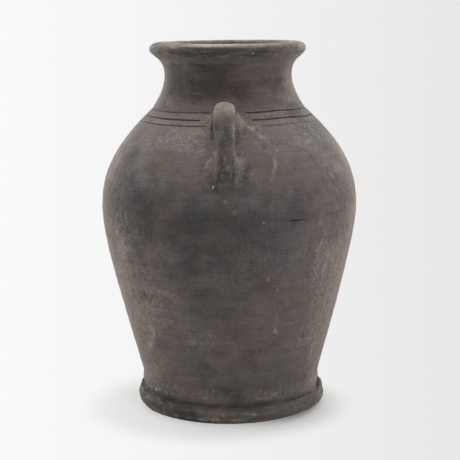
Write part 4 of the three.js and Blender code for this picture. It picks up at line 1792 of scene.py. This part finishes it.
@dataclass
class Wad:
    """Clay thumbed round one root of a strap: a thin skin that rises from wall to strap."""

    root: Root
    strap: Strap
    skin: Skin
    wall: BVHTree
    middle: float
    half_width: float
    half_height: float
    fillet: float
    lump: float
    seed: int
    rings: int = 46
    spokes: int = 112
    below: float = 1.6

    def build(self, material: Material) -> Object:
        """Builds the wad on the wall's real surface and settles it.

        Args:
            material: its finish.

        Returns:
            The wad.
        """
        outline, side = self.skin.outline, self.strap.side.name.lower()
        share = np.linspace(0, 1, self.rings + 1)[1:]
        turn = np.linspace(0, 2 * np.pi, self.spokes, endpoint=False)
        edge = 1 + 0.09 * np.sin(3 * turn + self.seed) + 0.05 * np.sin(7 * turn + 2 * self.seed)
        cosine, sine = (np.sign(f(turn)) * np.abs(f(turn)) ** 0.85 for f in (np.cos, np.sin))
        across = np.append(0, share[:, None] * cosine * edge) * self.half_width
        up = np.append(0, share[:, None] * sine * edge) * self.half_height
        window = 1 - smooth(np.append(0, np.repeat(share, self.spokes)), 0.5, 1.0)
        lengths = np.interp(self.middle, outline.table[:, 1], outline.lengths) + up
        height = np.interp(lengths, outline.lengths, outline.table[:, 1])
        radius = outline.radius(height)
        places = around(np.stack([radius, height], -1), across / radius)
        normals = around(outline.normal(height), across / radius)
        rise = self.rise(places, normals, across, window)
        places, normals = self.strap.turned(places), self.strap.turned(normals)
        base = self.on_wall(places, normals)
        points = np.vstack([base + normals * rise[:, None], base - normals * self.below])
        mesh = bpy.data.meshes.new(f"luting_{side}_{self.root.value}")
        mesh.from_pydata((points * MM).tolist(), [], self.faces(len(base)))
        mesh.materials.append(material)
        mesh.shade_smooth()
        tones = self.tones(points, np.tile(window, 2))
        paint(mesh, tones, self.skin.warmth(located(points)))
        return settle(show(mesh.name, mesh), f"handle_{side}_{self.root.value}_wad", 60)

    def faces(self, count: int) -> list:
        """Joins the skin's top, its underside and the edge between them.

        Args:
            count: how many points the top has.

        Returns:
            The faces.
        """
        faces = []
        for k in range(self.spokes):
            after = (k + 1) % self.spokes
            faces.append((0, 1 + k, 1 + after))
            faces.append((count, count + 1 + after, count + 1 + k))
            for ring in range(self.rings - 1):
                a, b = 1 + ring * self.spokes + k, 1 + ring * self.spokes + after
                c, d = b + self.spokes, a + self.spokes
                faces.append((a, d, c, b))
                faces.append((count + a, count + b, count + c, count + d))
            a, b = count - self.spokes + k, count - self.spokes + after
            faces.append((a, count + a, count + b, b))
        return faces

    def rise(self, places: Array, normals: Array, across: Array, window: Array) -> Array:
        """How high the clay stands above the wall: a fillet against the strap, and thumb marks.

        Args:
            places: the points on the wall, in mm, turned to the front.
            normals: the wall's outward directions there.
            across: how far they lie to the right of the handle's plane, in mm.
            window: 1 in the wad's middle and 0 at its edge.

        Returns:
            The height at each point, in mm.
        """
        height = np.zeros(len(places))
        for _ in range(22):
            points = places + normals * height[:, None]
            away = self.strap.distance(from_axis(points), points[:, 2], points[:, 0])
            blend = np.maximum(self.fillet - np.abs(height - away), 0) / self.fillet
            gap = np.minimum(height, away) - blend * blend * self.fillet / 4
            height = np.clip(height - 0.8 * gap, 0, 10)
        height = np.minimum(height, self.strap_room(places, normals, across))
        thumb = Waves(self.seed, 11, (1.0, 1.0, 1.7))(places) + 0.6 * Waves(self.seed + 1, 5.5)(places)
        clay = height + self.lump * (0.75 + 0.5 * thumb)
        return window * np.maximum(clay, 0) - 0.45 * (1 - window) ** 2

    def strap_room(self, places: Array, normals: Array, across: Array) -> Array:
        """How high the clay may stand before it would cover the strap's outer face.

        Args:
            places: the points on the wall, in mm, turned to the front.
            normals: the wall's outward directions there.
            across: how far they lie to the right of the handle's plane, in mm.

        Returns:
            The room at each point, in mm.
        """
        strap, leg = self.strap, 60  # the first station that is surely on the outer leg
        nearest = np.argmin(np.abs(places[:, 2:3] - strap.centres[None, leg:, 1]), axis=1) + leg
        face = strap.centres[nearest, 0] + strap.thickness / 2 - 2.6
        room = np.maximum(face - from_axis(places), 0) / from_axis(normals)
        reach = np.abs(across - strap.leans[nearest]) - strap.halves[nearest]
        lapped = smooth(strap.foot_z + 5 - places[:, 2], 0, 12)
        return room + 9 * smooth(reach, -2.5, 1.5) + 9 * lapped

    def on_wall(self, places: Array, normals: Array) -> Array:
        """Moves points along their normals onto the wall's real surface.

        Args:
            places: the points, in mm.
            normals: the directions to the outside.

        Returns:
            The points on the wall, in mm.
        """
        found = places.copy()
        for i, (place, normal) in enumerate(zip(places, normals)):
            hit = self.wall.ray_cast(Vector((place + 6 * normal) * MM), Vector(-normal))
            if hit[0] is not None and hit[3] < 12 * MM:
                found[i] = np.array(hit[0]) / MM
        return found

    def tones(self, points: Array, window: Array) -> Array:
        """The wall's own tones, with more bare clay and dust on the thumbed lumps.

        Args:
            points: the points, in mm.
            window: 1 in the wad's middle and 0 at its edge.

        Returns:
            Four channels, in the order of Tone.
        """
        found = self.skin.tones(located(points))
        char, tan, dust, _ = found.T
        patch, sign = self.skin.press(points), self.strap.side.sign
        side = np.abs(points[:, 0] * sign - self.strap.lean)
        under = (1 - smooth(side, 6.5, 9.5)) * (self.root is Root.LOWER)
        thumbed = window * (1 - under)
        tan += thumbed * (0.15 + 0.2 * patch)
        dust += thumbed * 0.1 * (1 + patch)
        char *= 1 - 0.4 * thumbed
        left = (self.strap.lean - points[:, 0]) * sign
        soot = between(left, 6, 8, 12, 17) * (1 - smooth(points[:, 2], 257, 268))
        char += 0.12 * under + 0.35 * soot * (self.root is Root.LOWER)
        return found


@dataclass
class Handles:
    """Both handles, each a strap and the two wads of clay that hold it."""

    skin: Skin
    strap_finish: Material
    wad_finish: Material

    def build(self, walls: list) -> list:
        """Builds the handles on the finished walls.

        Args:
            walls: the wall pieces that the handles stand on.

        Returns:
            The straps and the wads.
        """
        surface, tree, made = self.surface(walls), pulling_tree(), []
        for side, seed in ((Side.FRONT, 17), (Side.BACK, 29)):
            strap = Strap(side, self.skin.outline)
            shared = {"strap": strap, "skin": self.skin, "wall": surface}
            upper = {"middle": 304.5, "half_width": 25, "half_height": 16, "fillet": 9, "lump": 1.3}
            lower = {"middle": 262, "half_width": 24, "half_height": 28, "fillet": 14, "lump": 0.7}
            made.append(strap.build(tree, self.strap_finish, self.skin))
            made.append(Wad(Root.UPPER, **shared, **upper, seed=seed).build(self.wad_finish))
            made.append(Wad(Root.LOWER, **shared, **lower, seed=seed + 5).build(self.wad_finish))
        return made

    def surface(self, walls: list) -> BVHTree:
        """Gathers the walls' faces, for finding where the clay lies.

        Args:
            walls: the wall pieces.

        Returns:
            Their faces, to cast rays at.
        """
        points, faces = [], []
        for wall in walls:
            start = len(points)
            points.extend(v.co for v in wall.data.vertices)
            faces.extend([start + i for i in p.vertices] for p in wall.data.polygons)
        return BVHTree.FromPolygons(points, faces)


@dataclass
class Grit:
    """Pale grains of temper that stand out of the clay: a few placed ones and many drawn ones."""

    skin: Skin
    walls: list
    drawn: int = 150
    grain: float = 0.42
    placed: tuple = (
        (-15.9, 305.4, 2.4), (11.2, 312.4, 1.1), (12.2, 307.5, 0.9), (10.6, 301.0, 1.3), (12.4, 296.5, 1.0),
        (-4.5, 247.2, 3.4), (-4.7, 245.6, 2.2), (16.6, 212.5, 3.0), (20.0, 370.4, 3.0), (10.2, 256.5, 1.1),
        (11.6, 254.8, 0.9), (1.1, 265.0, 1.2), (24.0, 268.5, 0.9), (22.5, 262.0, 0.9), (21.0, 252.0, 1.0),
    )

    def build(self, material: Material) -> Object:
        """Scatters the grains on the walls and settles them.

        Args:
            material: their finish.

        Returns:
            The grains, as one piece.
        """
        draw = np.random.default_rng(77)
        spots = list(self.placed)
        for _ in range(self.drawn):
            spots.append((draw.uniform(-180, 180), draw.uniform(24, 362), draw.uniform(0.5, 1.15)))
        points, grades = [], []
        for angle, height, grade in spots:
            turn = math.radians(angle)
            way = Vector((math.sin(turn), -math.cos(turn), 0))
            start = Vector((0, 0, height * MM)) + way * 0.2
            hits = [wall.ray_cast(start, -way) for wall in self.walls]
            found = [hit for hit in hits if hit[0]]
            if found:
                near = max(found, key=lambda item: item[1].dot(way))
                points.append(np.array(near[1]) / MM - 0.05 * np.array(near[2]))
                grades.append(grade)
        values = {"Grain": self.grain * MM, "Seed": 3, "Material": material}
        piece = scattering_tree().run("grit", np.array(points), {"grade": np.array(grades)}, values)
        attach(piece, BODY)
        LOG.info("%s: %d grains", piece.name, len(points))
        return piece


# Room, light and camera.


@dataclass
class Studio:
    """A pale floor, soft light from above and from both sides, and the camera."""

    distance: float = 1373.5
    eye_height: float = 417.8
    pitch: float = 9.66
    azimuth: float = 2.2
    roll: float = -0.485
    lens: float = 103.9
    shift: float = 0.0013
    ambient: float = 0.5
    floor: str = "#c8c7c5"
    floor_seen: float = 0.75
    floor_glow: float = 0.17
    left_backdrop: str = "#fafafa"
    right_backdrop: str = "#e4e4e4"

    def build(self) -> None:
        """Builds the camera, the light and the floor."""
        self.camera()
        self.world()
        self.lamp("top", (0, 300, 1500), 1500, 1500, 15.0)
        self.lamp("left", (-1020, 890, 300), 900, 1300, 12.6)
        self.lamp("right", (1020, 890, 300), 900, 1300, 13.6)
        self.ground()
        scene = bpy.context.scene
        scene.view_settings.view_transform = "Standard"

    def camera(self) -> None:
        """Sets the camera at the photograph's angle."""
        data = bpy.data.cameras.new("camera")
        data.lens, data.sensor_width, data.shift_x = self.lens, 36.0, self.shift
        made, turn = show("camera", data), math.radians(self.azimuth)
        aside, ahead = math.sin(turn) * self.distance, math.cos(turn) * self.distance
        place = Vector((aside, -ahead, self.eye_height)) * MM
        aim = Matrix.Rotation(turn, 4, "Z") @ Matrix.Rotation(math.radians(90 - self.pitch), 4, "X")
        roll = Matrix.Rotation(math.radians(self.roll), 4, "Z")
        made.matrix_world = Matrix.Translation(place) @ aim @ roll
        bpy.context.scene.camera = made

    def world(self) -> None:
        """An even pale room. Camera and glossy rays see the backdrop, brighter on the left."""
        world = bpy.data.worlds.new("room")
        bpy.context.scene.world = world
        tree = cleared(world)
        colour = self.backdrop(tree, add(tree, "ShaderNodeTexCoord").outputs["Generated"], 0.2)
        path = add(tree, "ShaderNodeLightPath").outputs
        shown = chain(tree, Sums.NUMBERS, path["Is Camera Ray"], ("MAXIMUM", path["Is Glossy Ray"]))
        light = add(tree, "ShaderNodeBackground", (linear("#fdfdfb"), self.ambient))
        seen = add(tree, "ShaderNodeBackground", (colour, 1.0))
        mixed = add(tree, "ShaderNodeMixShader", (shown, light, seen))
        add(tree, "ShaderNodeOutputWorld", {"Surface": mixed})

    def backdrop(self, tree: NodeTree, place: object, half: float) -> Node:
        """The backdrop's colour, from left to right.

        Args:
            tree: the tree that gets the nodes.
            place: the coordinates that it is read at.
            half: half of the width over which it changes.

        Returns:
            The node with the colour.
        """
        across = add(tree, "ShaderNodeSeparateXYZ", (place,))
        share = add(tree, "ShaderNodeMapRange", (across, -half, half))
        ends = {0: share, 6: linear(self.left_backdrop), 7: linear(self.right_backdrop)}
        return add(tree, "ShaderNodeMix", ends, data_type="RGBA")

    def lamp(self, name: str, place: tuple, wide: float, tall: float, power: float) -> None:
        """Adds a soft lamp that faces the vase.

        Args:
            name: its name.
            place: where it stands, in mm.
            wide: its width, in mm.
            tall: its height, in mm.
            power: its power, in watts.
        """
        data = bpy.data.lights.new(name, "AREA")
        data.shape, data.size, data.size_y, data.energy = "RECTANGLE", wide * MM, tall * MM, power
        made = show(name, data)
        made.location = Vector(place) * MM
        made.rotation_euler = (Vector((0, 0, 200 * MM)) - made.location).to_track_quat("-Z", "Y").to_euler()
        made.visible_camera = False

    def ground(self) -> None:
        """A pale floor that keeps the shadow and melts into the backdrop further out."""
        mesh, sides = bpy.data.meshes.new("floor"), 96
        turn = np.linspace(0, 2 * np.pi, sides, endpoint=False)
        ring = np.stack([np.cos(turn), np.sin(turn), np.zeros(sides)], -1) * 2.2
        mesh.from_pydata(ring.tolist(), [], [tuple(range(sides))])
        mesh.materials.append(self.paint())
        floor = show("floor", mesh)
        floor.location.z = -0.2 * MM

    def paint(self) -> Material:
        """The floor's paint, clear to the camera where the shadow has ended.

        Returns:
            The material.
        """
        material = bpy.data.materials.new("painted_floor")
        tree = cleared(material)
        numbers, vectors = (partial(chain, tree, sums) for sums in Sums)
        place = add(tree, "ShaderNodeTexCoord").outputs["Object"]
        camera = add(tree, "ShaderNodeLightPath").outputs["Is Camera Ray"]
        room = self.backdrop(tree, place, 0.28)
        seen = add(tree, "ShaderNodeVectorMath", {0: room, "Scale": self.floor_seen}, operation="SCALE")
        colour = add(tree, "ShaderNodeMix", {0: camera, 6: linear(self.floor), 7: seen}, data_type="RGBA")
        diffuse = add(tree, "ShaderNodeBsdfDiffuse", {"Color": colour})
        glow = add(tree, "ShaderNodeEmission", (room, numbers(camera, ("MULTIPLY", self.floor_glow))))
        coat = add(tree, "ShaderNodeAddShader", (diffuse, glow))
        away = vectors(place, ("ADD", (0.019, 0.008, 0)), ("LENGTH",))
        behind = vectors(place, ("DOT_PRODUCT", (0.7, 1, 0)))
        near, depth = (
            add(tree, "ShaderNodeMapRange", ramp, interpolation_type="SMOOTHSTEP")
            for ramp in ((away, 0.104, 0.156, 1.0, 0.0), (behind, -0.12, 0.02, 0.45, 1.0))
        )
        kept = numbers(near, ("MULTIPLY", depth))
        gone = numbers(1.0, ("SUBTRACT", kept), ("MULTIPLY", camera))
        mixed = add(tree, "ShaderNodeMixShader", (gone, coat, add(tree, "ShaderNodeBsdfTransparent")))
        add(tree, "ShaderNodeOutputMaterial", {"Surface": mixed})
        return material


def build_vessel(skin: Skin, finish: Material, rim: Material, raw: Material) -> list:
    """Builds the turned pieces, from the floor slab up to the lip.

    Args:
        skin: the marks that they share.
        finish: the washed clay.
        rim: the washed clay of foot and lip, which hands rubbed more.
        raw: the unwashed clay of the floor slab.

    Returns:
        The finished pieces.
    """
    shared = {"skin": skin, "tree": turning_tree()}
    washed = {"slot": "washed_earthenware", "material": finish, **shared}
    coiled = {**washed, "material": rim}
    base, girth, collar, seat = 13.0, 212.0, 312.8, 364.0
    lower = (base, 20, 2.5), (20, 34, 0.9), (34, 209.6, 1.7), (209.6, girth, 0.5)
    upper = (girth, 214.4, 0.5), (214.4, 290, 1.6), (290, 297, 0.8), (297, collar, 0.4)
    neck = (collar, 316, 0.4), (316, seat, 1.1)
    pieces = [
        FloorSlab("floor_slab", "base_disc", "raw_earthenware", material=raw, segments=160, sway=0, **shared),
        Foot("foot_coil", "foot_ring", sway=0.5, sway_size=60, ring_height=0.5, ring_spacing=6, **coiled),
        Wall("wall_lower", "lower_wall", low=base, high=girth, zones=lower, **washed),
        Wall("wall_shoulder", "shoulder_wall", low=girth, high=collar, zones=upper, **washed),
        Wall("neck", "neck_collar", low=collar, high=seat, zones=neck, **washed),
        Lip("lip", "lip_roll", **coiled),
    ]
    return [piece.build() for piece in pieces]


def main() -> None:
    """Builds the room and the vase."""
    logging.basicConfig(level=logging.INFO, format="%(name)s: %(message)s")
    Studio().build()
    outline = Outline()
    skin = Skin(outline)
    wall = WashedEarthenware("washed_earthenware").make()
    strap = WashedEarthenware("washed_strap_earthenware", wash="#7a706b", bump=0.6, mottle=9.0).make()
    wad = WashedEarthenware("smeared_luting_clay", wash="#7a716b", bump=0.9, mottle=8.0).make()
    rim = WashedEarthenware("washed_coil_earthenware", contrast=0.34, brush_long=30.0, brush_fine=2.2).make()
    raw = WashedEarthenware("raw_earthenware", wash="#80705f", char="#5c5148", bump=0.8).make()
    vessel = build_vessel(skin, wall, rim, raw)
    handles = Handles(skin, strap, wad).build([p for p in vessel if p.name in ("wall_shoulder", "neck")])
    shown = [p for p in vessel if p.name != "floor_slab"] + handles
    Grit(skin, shown).build(MineralGrit().make())


if __name__ == "__main__":
    main()
